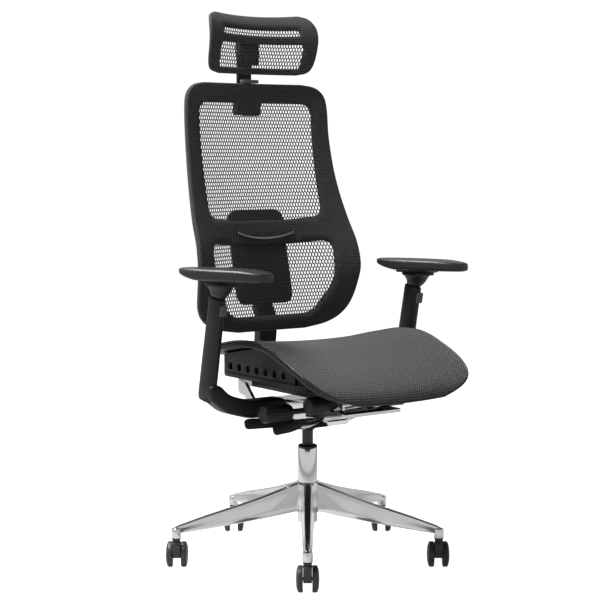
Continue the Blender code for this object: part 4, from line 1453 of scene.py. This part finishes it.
# ---------------------------------------------------------------- mechanism
@dataclass
class Mechanism:
    """Chassis, shafts, spring and the controls under the seat."""

    pivot_y: float = -0.200
    pivot_z: float = 0.430
    recline_y: float = 0.035
    recline_z: float = 0.402
    cap_ring: Point2 = (0.0488, 0.0560)

    def on_ring(self, root: Vector) -> FaceTest:
        """Tell a pivot cap's plated ring from the rest.

        Args:
            root: the cap's inner end.

        Returns:
            A test of a face's middle.
        """

        def test(middle: Vector) -> bool:
            """Whether the place lies on the ring."""
            return self.cap_ring[0] < abs(middle.x - root.x) < self.cap_ring[1]

        return test

    def shaft(self, half: float, radius: float, y: float, z: float) -> Work:
        """A cross shaft with chamfered ends and a dimple.

        Args:
            half: half its length.
            radius: its radius.
            y: place of its axis from front to rear.
            z: height of its axis.

        Returns:
            The working mesh.
        """
        profile = ((0, -half + 0.001), (radius * 0.4, -half + 0.001), (radius * 0.55, -half),
                   (radius - 0.0008, -half), (radius, -half + 0.0008), (radius, half - 0.0008),
                   (radius - 0.0008, half), (radius * 0.55, half), (radius * 0.4, half - 0.001),
                   (0, half - 0.001))
        return turned(profile, Matrix.Translation((0, y, z)) @ spun(90, "Y"), 32)

    def lever(self, root: Vector, reach: float, width: float, rise: float) -> Work:
        """A paddle on its rod.

        Args:
            root: where the rod leaves the chassis.
            reach: how far the paddle goes out.
            width: the paddle's width.
            rise: how many degrees it climbs outwards.

        Returns:
            The working mesh.
        """
        outline = rounded([(-reach, -width / 2), (-reach, width / 2), (-0.060, width / 2),
                           (-0.030, 0.005), (-0.030, -0.005), (-0.060, -width / 2)], 0.011, 0.0025)
        turn = (Matrix.Translation(root) @ spun(rise, "Y")
                @ spun(70, "X"))
        paddle = plate(outline, [], flat_surface(turn), 0.0035, -0.0035, Edge(0.0016, 3), 0.008)
        rod = turned(((0, 0.045), (0.0045, 0.045), (0.0045, 0.0016), (0.0039, 0.0010), (0, 0.0010)),
                     Matrix.Translation(root) @ spun(-90, "Y"), 24)
        return fused([paddle, rod])

    def knob(self, root: Vector) -> Work:
        """The fluted tension knob on its shaft.

        Args:
            root: where the shaft leaves the chassis.

        Returns:
            The working mesh.
        """
        profile = ((0, 0), (0.0066, 0), (0.007, 0.0006), (0.007, 0.068), (0.0172, 0.0694),
                   (0.0195, 0.0715), (0.0203, 0.076), (0.0205, 0.082), (0.0205, 0.090),
                   (0.0205, 0.098), (0.0205, 0.106), (0.0205, 0.114), (0.0205, 0.122),
                   (0.0205, 0.130), (0.0205, 0.140), (0.0203, 0.1465), (0.0192, 0.1502),
                   (0.0178, 0.1518), (0.0120, 0.1520), (0.0110, 0.1512), (0, 0.1512))

        def flutes(radius: float, height: float, angle: float) -> float:
            """Sink shallow grooves into the grip.

            Args:
                radius: the plain radius.
                height: the place along the knob.
                angle: the place round it.

            Returns:
                The radius with the grooves.
            """
            starting = max(0.0, min(1.0, (height - 0.076) / 0.006))
            grip = starting * max(0.0, min(1.0, (0.146 - height) / 0.006))
            return radius - 0.0011 * grip * (0.5 + 0.5 * math.cos(angle * 16)) ** 3

        return turned(profile, Matrix.Translation(root) @ spun(-90, "Y"), 128, flutes)

    def build(self) -> None:
        """Make every piece of the mechanism."""
        refined("chassis_casting", "chassis", Finish.ALUMINIUM, "mechanism", 0.0030)
        finished("chassis_collar", turned(((0.0143, 0.334), (0.0180, 0.334), (0.0186, 0.3348),
                                           (0.0186, 0.3457), (0.0143, 0.3457)), segments=48),
                 Finish.GLOSS, "mechanism", ["chassis_bush"])
        coil = coil_tree().run({"Turns": 9.0, "Radius": 0.0165, "Length": 0.090, "Wire": 0.0024,
                                "Material": Finish.STEEL.material})
        bmesh.ops.transform(coil, verts=coil.verts, matrix=Matrix.Translation((0, -0.0325, 0.394))
                            @ spun(90, "X"))
        core = turned(((0, -0.123), (0.010, -0.123), (0.0108, -0.122), (0.0108, -0.034),
                       (0.010, -0.033), (0, -0.033)), Matrix.Translation((0, 0, 0.394))
                      @ spun(-90, "X"), 28)
        finished("spring_coil", merged(coil, core), Finish.STEEL, "mechanism", ["tilt_spring"])
        finished("front_shaft", self.shaft(0.108, 0.006, self.pivot_y, self.pivot_z), Finish.STEEL,
                 "mechanism", ["pivot_shaft"])
        finished("yoke_shaft", self.shaft(0.139, 0.008, self.recline_y, self.recline_z),
                 Finish.STEEL, "mechanism", ["recline_shaft"])
        finished("tension_grip", self.knob(Vector((-0.0553, -0.098, 0.402))), Finish.BLACK,
                 "tension_knob", ["tension_knob"])
        finished("height_paddle", self.lever(Vector((-0.0553, -0.062, 0.370)), 0.178, 0.026, 2.4),
                 Finish.BLACK, "height_lever", ["height_lever"])
        finished("tilt_paddle", self.lever(Vector((-0.0553, -0.092, 0.367)), 0.115, 0.024, -4.0),
                 Finish.BLACK, "tilt_lever", ["tilt_lever"])
        refined("carrier_frame", "seat_carrier", Finish.BLACK, "carrier", 0.002)
        for label, way in (("left", 1), ("right", -1)):
            root = Vector((way * 0.0883, self.pivot_y, self.pivot_z))
            profile = ((0.0065, 0), (0.0198, 0), (0.0208, 0.0012), (0.0214, 0.004), (0.0215, 0.010),
                       (0.0215, 0.0465), (0.0211, 0.0475), (0.0211, 0.0485), (0.0218, 0.0490),
                       (0.0218, 0.0530), (0.0212, 0.0546), (0.0194, 0.0565), (0.0165, 0.0575),
                       (0.0150, 0.0568), (0.0120, 0.0580), (0, 0.0584), (0, 0.022), (0.0065, 0.022))
            placing = Matrix.Translation(root) @ spun(90 * way, "Y")
            finished("cap_" + label, turned(profile, placing, 56), Finish.BLACK, "carrier",
                     ["pivot_cap_" + label], 30.0, (Finish.CHROME, self.on_ring(root)))


# ---------------------------------------------------------------- seat
@dataclass(frozen=True)
class Cover:
    """The net where it lies on a frame: drawn over the rim and cut out at the windows."""

    name: str
    body: str
    surface: Surface
    reach: float
    radius: float
    step: float

    def over(self, outline: Loop, windows: list[Loop]) -> Piece:
        """Lay the cover on its frame.

        Args:
            outline: the frame's flat outline.
            windows: the flat outlines of its openings.

        Returns:
            The cover, with its thickness on it.
        """
        rim = Edge(self.radius, 4, holes_too=False, closed=False)
        work = plate(outline, windows, self.surface, CLOTH_THICKNESS, -self.reach, rim, self.step)
        piece = finished(self.name, work, Finish.HEM, self.body, crease=60.0)
        skin = piece.modifiers.new("cloth", "SOLIDIFY")
        skin.thickness, skin.offset = HEM_THICKNESS, -1.0
        return piece


@dataclass
class SeatUnit:
    """Pan, rim frame, the stretched cloth and its piping."""

    rim_thickness: float = 0.0145
    cloth: float = 0.0024
    piping: float = 0.0024

    def build(self) -> None:
        """Make the seat's pieces."""
        outline = table_outline(SEAT_CURVE)
        front, rear = along_seat(-0.325), along_seat(0.088)
        opening = rounded([(-0.214, front), (0.214, front), (0.214, rear), (-0.214, rear)], 0.05)
        finished("seat_rail", plate(grown(outline, -0.001), [opening], SEAT, -0.0006,
                                    -self.rim_thickness, Edge(0.0045, 4), 0.014), Finish.BLACK,
                 "seat", ["seat_rim"], 50.0)
        cloth = finished("seat_cloth", plate(outline, [], SEAT, self.cloth, 0.0, Edge(0.0011, 2),
                                             0.012), Finish.SEAT_CLOTH, "seat", ["seat_mesh"], 60.0)
        welt = [SEAT.at(point.x, point.y, 0.0006) for point in grown(spaced(outline, 0.009),
                                                                     -0.0008)]
        piping = finished("seat_piping", swept(welt, self.piping, 12, True), Finish.GLOSS, "seat")
        refined("pan_moulding", "seat_pan", Finish.BLACK, "seat", 0.0010)
        rib = plate(rounded([(-0.150, -0.0016), (0.150, -0.0016), (0.150, 0.0016),
                             (-0.150, 0.0016)], 0.0008, 0.004), [],
                    flat_surface(Matrix.Identity(4)), 0.0, -0.007, Edge(0.0006, 2), 0.01)
        ribs = row_of(rib, Vector((0, -0.235, 0.4797)), Vector((0, 0.030, 0)), 10, Finish.BLACK)
        finished("pan_ribs", ribs, Finish.BLACK, "seat")


# ---------------------------------------------------------------- back
@dataclass
class BackUnit:
    """Window frame, its net and hem, the lumbar support, the spine and the yoke."""

    overlap: float = 0.009
    handle_half: float = 0.084
    handle_radius: float = 0.0056

    def windows(self) -> list[Loop]:
        """The flat outlines of the frame's openings."""
        upper = [(-0.178, 0.868), (-0.09, 0.858), (0.09, 0.858), (0.178, 0.868), (0.178, 1.163),
                 (0.030, 1.163), (0.027, 1.130), (-0.027, 1.130), (-0.030, 1.163), (-0.178, 1.163)]
        lower = [(-0.130, 0.612), (0.130, 0.612), (0.188, 0.690), (0.190, 0.806), (0.09, 0.796),
                 (-0.09, 0.796), (-0.190, 0.806), (-0.188, 0.690)]
        return [self.soft_corners(upper), rounded(lower, 0.030)]

    @staticmethod
    def lumbar_place(x: float, z: float) -> Vector:
        """A point of the lumbar pad's middle, which leans back and cups the sitter."""
        return Vector((x, 0.186 + 0.215 * (z - 0.640) + 0.10 * x * x, z))

    @staticmethod
    def soft_corners(points: list[Point2]) -> Loop:
        """Round the outer corners widely and the tab's corners tightly.

        Args:
            points: the corners.

        Returns:
            The outline, counter-clockwise.
        """
        loop: Loop = []
        for index, corner in enumerate(points):
            here = Vector(corner)
            before = Vector(points[index - 1]) - here
            after = Vector(points[(index + 1) % len(points)]) - here
            reach = min(0.006 if abs(here.x) < 0.04 else 0.030, before.length * 0.49,
                        after.length * 0.49)
            start, end = here + before.normalized() * reach, here + after.normalized() * reach
            loop += [(1 - t) ** 2 * start + 2 * t * (1 - t) * here + t * t * end
                     for t in (0, 0.25, 0.5, 0.75, 1)]
        return spaced(turned_left(loop), 0.006)

    def build(self) -> None:
        """Make the back's pieces."""
        outline, windows = table_outline(BACK_ROWS), self.windows()
        finished("back_moulding", plate(grown(outline, -0.0014), windows, BACK, -0.0006, -0.0135,
                                        Edge(0.003, 3), 0.016), Finish.BLACK, "back",
                 ["back_frame"], 50.0)
        net = Net().laid("back_net", [grown(window, self.overlap) for window in windows], BACK,
                         NET_DEPTH, "back")
        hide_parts("back_mesh")
        hem = Cover("back_hem", "back", BACK, 0.0095, 0.0045, 0.014).over(outline, windows)
        bar = []
        for step in range(25):
            x = -self.handle_half + 2 * self.handle_half * step / 24
            z = 0.812 + 0.014 * (x / self.handle_half) ** 2
            bar.append(BACK.at(x, z) + Vector((0, -0.0098, 0)))
        finished("lumbar_handle", swept(bar, self.handle_radius, 24), Finish.SMOKED, "back",
                 ["lumbar_bar"])
        slope = Surface(self.lumbar_place, Vector((0, -1, 0)))
        shape = rounded([(-0.075, 0.640), (0.075, 0.640), (0.088, 0.660), (0.088, 0.868),
                         (0.070, 0.885), (-0.070, 0.885), (-0.088, 0.868), (-0.088, 0.660)], 0.016,
                        0.004)
        finished("lumbar_shell", plate(shape, [], slope, 0.004, -0.004, Edge(0.0028, 3), 0.012),
                 Finish.DEEP, "lumbar", ["lumbar_pad"], 50.0)
        refined("back_spine", "spine", Finish.BLACK, "back", 0.004)
        refined("back_yoke", "recline_yoke", Finish.ALUMINIUM, "back", 0.0022)


# ---------------------------------------------------------------- headrest
@dataclass
class HeadrestUnit:
    """The tilting headrest, its sliding stem and its bracket."""

    pivot: Vector = Vector((0, 0.272, 1.300))
    overlap: float = 0.007
    ear: float = 0.006
    ear_place: float = 0.0268
    pin_half: float = 0.0308

    def block(self, size: tuple[float, float, float], centre: Vector, radius: float) -> Work:
        """A rounded block.

        Args:
            size: its size along X, Y and Z.
            centre: its middle.
            radius: how far its edges are rounded.

        Returns:
            The working mesh.
        """
        half_x, half_z = size[0] / 2, size[2] / 2
        outline = rounded([(-half_x, -half_z), (half_x, -half_z), (half_x, half_z),
                           (-half_x, half_z)], radius * 1.6, 0.002)
        placing = Matrix.Translation(centre) @ FACING
        return plate(outline, [], flat_surface(placing), size[1] / 2, -size[1] / 2, Edge(radius, 3),
                     0.01)

    def build(self) -> None:
        """Make the headrest's pieces."""
        outline = table_outline(HEAD_ROWS, 0.005)
        windows = [rounded([(-0.122, 1.341), (0.122, 1.341), (0.118, 1.360), (-0.118, 1.360)],
                           0.009, 0.004), rounded([(-0.127, 1.250), (0.127, 1.250), (0.131, 1.318),
                                                   (-0.131, 1.318)], 0.014, 0.004)]
        finished("headrest_moulding", plate(grown(outline, -0.0012), windows, HEAD, -0.0006,
                                            -0.0100, Edge(0.0028, 3), 0.010), Finish.BLACK,
                 "headrest", ["headrest_frame"], 50.0)
        knuckles = [self.block((self.ear, 0.024, 0.044), Vector((x, 0.2705, 1.309)), 0.0020)
                    for x in (-self.ear_place, self.ear_place)]
        arms = [self.block((self.ear, 0.062, 0.012), Vector((x, 0.2505, 1.3262)), 0.0020)
                for x in (-self.ear_place, self.ear_place)]
        cover = self.block((0.0596, 0.005, 0.070), Vector((0, 0.2595, 1.2960)), 0.0018)
        finished("headrest_knuckles", fused([cover, *arms, *knuckles]), Finish.BLACK, "headrest",
                 crease=34.0)
        net = Net().laid("headrest_net", [grown(window, self.overlap) for window in windows], HEAD,
                         NET_DEPTH, "headrest")
        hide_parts("headrest_mesh")
        hem = Cover("headrest_hem", "headrest", HEAD, 0.0068, 0.0040, 0.010).over(outline, windows)
        refined("headrest_socket", "headrest_bracket", Finish.BLACK, "back", 0.002)
        finished("headrest_clasp", self.block((0.050, 0.016, 0.009), Vector((0, 0.260, 1.2195)),
                                              0.0018), Finish.GREY, "back", ["headrest_clip"], 34.0)
        refined("headrest_slide", "headrest_stem", Finish.BLACK, "headrest_stem", 0.0014)
        half = self.pin_half
        pin = turned(((0, -half), (0.0022, -half), (0.0030, -half + 0.0008),
                      (0.0030, half - 0.0008), (0.0022, half), (0, half)),
                     Matrix.Translation(self.pivot) @ spun(90, "Y"), 24)
        finished("headrest_hinge_pin", pin, Finish.STEEL, "headrest_stem", ["headrest_pin"])

# ---------------------------------------------------------------- arms
@dataclass
class Armrest:
    """One armrest: upright with its foot, post, trigger, plate and pad."""

    label: str
    way: int
    x: float = 0.303
    lean: float = math.radians(11.5)
    base_y: float = -0.002
    base_z: float = 0.448
    sleeve: float = 0.245
    yaw: float = math.radians(21)
    length: float = 0.256
    width: float = 0.092
    top: float = 0.759
    thickness: float = 0.0274
    pivot_y: float = -0.070

    @property
    def leaning(self) -> Matrix:
        """Placing of the upright: its Z runs up the sleeve."""
        return Matrix.Translation((self.way * self.x, self.base_y,
                                   self.base_z)) @ Matrix.Rotation(self.lean, 4, "X")

    def upright(self) -> Work:
        """The hollow oval sleeve that grows out of the curved foot."""
        placing = self.leaning
        outside = [(0.0262, 0.0140, -0.012), (0.0285, 0.0155, -0.004), (0.0292, 0.0158, 0.010),
                   (0.0288, 0.0156, 0.060), (0.0281, 0.0152, 0.130), (0.0273, 0.0149, 0.200),
                   (0.0270, 0.0148, self.sleeve - 0.003), (0.0266, 0.0145, self.sleeve - 0.0008),
                   (0.0258, 0.0138, self.sleeve)]
        inner = [(0.0232, 0.0112, self.sleeve), (0.0229, 0.0109, self.sleeve - 0.002),
                 (0.0229, 0.0109, 0.060)]
        rings = [ellipse_ring(b, a, z, placing, 2.35, 56) for a, b, z in outside + inner]
        sleeve = lofted(rings)
        outline = rounded([(0.092, 0.388), (0.200, 0.384), (0.272, 0.404), (0.3185, 0.442),
                           (0.3185, 0.476), (0.288, 0.476), (0.262, 0.448), (0.198, 0.4285),
                           (0.092, 0.4285)], 0.020, 0.004)
        placing = Matrix.Translation((0, self.base_y - 0.016, 0)) @ FACING
        foot = plate(outline, [], flat_surface(placing), 0.024, -0.024, Edge(0.0075, 5), 0.012)
        if self.way < 0:
            bmesh.ops.scale(foot, vec=(-1, 1, 1), verts=foot.verts)
        return fused([foot, sleeve])

    def post(self) -> Work:
        """The sliding post that flares into the neck under the pad."""
        placing = self.leaning
        head = placing @ Vector((0, 0, self.sleeve + 0.012))
        stages = [ellipse_ring(0.0098, 0.0218, 0.075, placing, 2.35),
                  ellipse_ring(0.0104, 0.0224, 0.078, placing, 2.35),
                  ellipse_ring(0.0104, 0.0224, self.sleeve + 0.001, placing, 2.35)]
        low, high = head.z - 0.004, self.top - 0.042
        for share, half_x, half_y in ((0.0, 0.0178, 0.0262), (0.12, 0.0186, 0.0272),
                                      (0.35, 0.0204, 0.0290), (0.60, 0.0228, 0.0318),
                                      (0.82, 0.0256, 0.0352), (1.0, 0.0284, 0.0388)):
            spot = Matrix.Translation((head.x, head.y - 0.012 * min(1.0, 0.6 + share), 0))
            stages.append(ellipse_ring(half_x, half_y, low + (high - low) * share, spot, 2.3))
        collar = Matrix.Translation((head.x, self.pivot_y, 0))
        for half_x, half_y, z in ((0.0300, 0.0405, high + 0.0012), (0.0300, 0.0410, high + 0.0065),
                                  (0.0290, 0.0400, high + 0.0080)):
            stages.append(ellipse_ring(half_x, half_y, z, collar, 4.0))
        return lofted(stages)

    def pad(self) -> Work:
        """The soft pad: hollowed a little along its middle, front dipping, rear end undercut."""
        swing = Matrix.Translation((self.way * self.x, self.pivot_y, 0))
        swing = swing @ Matrix.Rotation(self.yaw, 4, "Z")
        low, shift = self.top - self.thickness, -0.012
        outline = []
        for step in range(96):
            angle = 2 * math.pi * step / 96
            c, s = math.cos(angle), math.sin(angle)
            squarish = (abs(c) ** 3.0 + abs(s) ** 3.0) ** (-1 / 3.0)
            forward = s * squarish
            across = c * squarish * (1 - 0.10 * max(0.0, -forward))
            outline.append(Vector((across * self.width / 2, forward * self.length / 2 + shift)))
        middle = (low + self.top) / 2
        work = plate(spaced(turned_left(outline), 0.005), [],
                     flat_surface(Matrix.Translation((0, 0, middle))), self.top - middle,
                     low - middle, Edge(0.0080, 7), 0.008)
        for vert in work.verts:
            ahead = max(0.0, -(vert.co.y + 0.060)) / 0.09
            behind = max(0.0, vert.co.y - 0.050) / 0.06
            share = (vert.co.z - low) / (self.top - low)
            vert.co.z += 0.013 * min(1.2, behind) ** 1.3 * (1 - share)
            vert.co.z += 0.003 * min(1.0, ahead) * (1 - share)
            hollow = max(0.0, 1 - (vert.co.x / 0.040) ** 2)
            hollow *= max(0.0, 1 - ((vert.co.y - shift) / 0.125) ** 4)
            vert.co.z -= (0.0018 * hollow
                          if share > 0.9 else 0.0) + 0.008 * ahead ** 1.7 * (0.4 + 0.6 * share)
        bmesh.ops.transform(work, matrix=swing, verts=work.verts)
        return work

    def build(self) -> None:
        """Make the armrest's pieces."""
        upright_node, post_node = "arm_upright_" + self.label, "arm_post_" + self.label
        finished("upright_" + self.label, self.upright(), Finish.BLACK, "carrier", [upright_node],
                 36.0)
        finished("post_" + self.label, self.post(), Finish.BLACK, post_node, [post_node], 40.0)
        spot = self.leaning @ Vector((0, -0.0318, self.sleeve - 0.024))
        turn = Matrix.Translation(spot) @ Matrix.Rotation(self.lean, 4, "X") @ FACING
        outline = rounded([(-0.009, -0.014), (0.009, -0.014), (0.009, 0.014), (-0.009, 0.014)],
                          0.005, 0.0015)
        trigger_node, plate_node = "arm_trigger_" + self.label, "pad_plate_" + self.label
        pad_node = "arm_pad_" + self.label
        trigger = plate(outline, [], flat_surface(turn), 0.003, -0.003, Edge(0.0013, 3), 0.006)
        finished("trigger_" + self.label, trigger, Finish.GREY, trigger_node, [trigger_node], 40.0)
        refined("slide_plate_" + self.label, plate_node, Finish.BLACK, plate_node, 0.0012)
        pad = finished("pad_" + self.label, self.pad(), Finish.PAD, pad_node, [pad_node], 60.0)


# ---------------------------------------------------------------- studio
@dataclass
class Studio:
    """Pale floor, soft light and the camera."""

    distance: float = 4.05
    azimuth: float = math.radians(-36)
    height: float = 1.03
    pitch: float = math.radians(5.35)
    lens: float = 95.07
    shift: float = -0.00426
    sensor: float = 36.0
    far_end: float = 200

    def floor(self) -> None:
        """A wide pale floor."""
        work = bmesh.new()
        bmesh.ops.create_grid(work, x_segments=8, y_segments=8, size=40.0)
        floor = as_object("floor", work)
        floor.location.z = -0.0004
        made, wires, shader = started("floor_pale")
        noise = wires.node("ShaderNodeTexNoise", None, Scale=2.0)
        ramp = wires.node("ShaderNodeMapRange", None, Value=noise.outputs[0], _3=0.36, _4=0.39)
        tone = wires.node("ShaderNodeCombineColor", None, _0=ramp.outputs[0], _1=ramp.outputs[0],
                          _2=ramp.outputs[0])
        wires.link(tone.outputs[0], shader.inputs["Base Color"])
        shader.inputs["Roughness"].default_value = 0.9
        shader.inputs["Emission Color"].default_value = (1, 1, 1, 1)
        glow = wires.node("ShaderNodeMapRange", None,
                          Value=wires.node("ShaderNodeLightPath").outputs["Is Camera Ray"], _3=0.20,
                          _4=0.98)
        wires.link(glow.outputs[0], shader.inputs["Emission Strength"])
        floor.data.materials.append(made)

    def world(self) -> None:
        """White surroundings, dimmer above than at the sides."""
        world = bpy.data.worlds.new("studio")
        bpy.context.scene.world = world
        world.use_nodes = True
        wires = Wires(world.node_tree)
        background = world.node_tree.nodes["Background"]
        output = world.node_tree.nodes["World Output"]
        way = wires.node("ShaderNodeSeparateXYZ", None,
                         Vector=wires.node("ShaderNodeTexCoord").outputs["Generated"])
        fade = wires.node("ShaderNodeMapRange", {"interpolation_type": "SMOOTHSTEP"},
                          Value=way.outputs[2], _1=0.12, _2=0.45, _3=0.66, _4=0.10)
        background.inputs["Color"].default_value = (1, 1, 1, 1)
        path = wires.node("ShaderNodeLightPath")
        dimmed = wires.node("ShaderNodeMapRange", None, Value=path.outputs["Is Diffuse Ray"],
                            _3=1.0, _4=0.45)
        wires.link(wires.sum("MULTIPLY", fade.outputs[0], dimmed.outputs[0]),
                   background.inputs["Strength"])
        seen = wires.node("ShaderNodeBackground", None, Color=(1, 1, 1, 1), Strength=1.05)
        mix = wires.node("ShaderNodeMixShader", None, _0=path.outputs["Is Camera Ray"],
                         _1=background.outputs[0], _2=seen.outputs[0])
        wires.link(mix.outputs[0], output.inputs["Surface"])

    def softbox(self, name: str, place: Vector, aim: Vector, size: Point2, power: float) -> None:
        """An area light that faces a point.

        Args:
            name: the light's name.
            place: where it hangs.
            aim: what it faces.
            size: its width and height.
            power: its power in watts.
        """
        light = bpy.data.lights.new(name, "AREA")
        light.shape, light.size, light.size_y, light.energy = "RECTANGLE", size[0], size[1], power
        made = bpy.data.objects.new(name, light)
        made.location = place
        made.rotation_euler = (aim - place).to_track_quat("-Z", "Y").to_euler()
        bpy.context.scene.collection.objects.link(made)

    def flag(self, name: str, place: Vector, size: Point2) -> None:
        """A level black board, turned towards the camera, that only reflections see.

        Args:
            name: the board's name.
            place: its middle.
            size: its width and depth.
        """
        work = bmesh.new()
        bmesh.ops.create_grid(work, x_segments=1, y_segments=1, size=0.5)
        turn = Matrix.Rotation(self.azimuth, 4, "Z")
        bmesh.ops.transform(work, verts=work.verts, matrix=Matrix.Translation(place) @ turn
                            @ Matrix.Diagonal((size[0], size[1], 1, 1)))
        board = as_object(name, work)
        made, _, shader = started(name + "_cloth")
        shader.inputs["Base Color"].default_value = (0.01, 0.01, 0.01, 1)
        shader.inputs["Roughness"].default_value = 1.0
        board.data.materials.append(made)
        board.visible_camera = False
        board.visible_diffuse = False
        board.visible_shadow = False

    def camera(self) -> None:
        """The camera, with the swivel axis in its middle."""
        data = bpy.data.cameras.new("camera")
        data.lens, data.sensor_width, data.shift_x = self.lens, self.sensor, self.shift
        camera = bpy.data.objects.new("camera", data)
        back = Vector((math.sin(self.azimuth), -math.cos(self.azimuth), 0))
        camera.location = Vector((0, AXIS_Y, self.height)) + back * self.distance
        look = -back * math.cos(self.pitch) - Vector((0, 0, math.sin(self.pitch)))
        camera.rotation_euler = look.to_track_quat("-Z", "Y").to_euler()
        data.clip_end = self.far_end
        bpy.context.scene.collection.objects.link(camera)
        bpy.context.scene.camera = camera

    def build(self) -> None:
        """Set up the whole studio."""
        self.camera()
        self.world()
        self.floor()
        middle = Vector((0, 0, 0.6))
        self.softbox("key", Vector((-1.6, 0.4, 3.9)), middle, (2.2, 1.6), 200)
        self.softbox("fill", Vector((2.6, -3.0, 2.2)), middle, (2.0, 2.0), 8)
        self.softbox("rim", Vector((-0.6, 2.2, 4.2)), middle, (2.4, 1.2), 150)
        # one board darkens the reflections from above, the other those under the mechanism
        self.flag("flag_top", heading(self.azimuth, 1.0, 3.2), (1.5, 1.5))
        self.flag("flag_under", heading(self.azimuth, -0.03, 0.300) + Vector((0, AXIS_Y, 0)),
                  (0.12, 0.36))
        bpy.context.scene.view_settings.view_transform = "Standard"


def main() -> None:
    """Build the chair piece by piece, then the studio."""
    logging.basicConfig(level=logging.INFO, format="%(name)s %(message)s")
    Studio().build()
    for unit in (StarBase(), GasLift(), Casters(), Mechanism(), SeatUnit(), BackUnit(),
                 HeadrestUnit(), Armrest("left", 1), Armrest("right", -1)):
        unit.build()
        log.info("%s built", type(unit).__name__)
    bpy.context.view_layer.update()


if __name__ == "__main__":
    main()
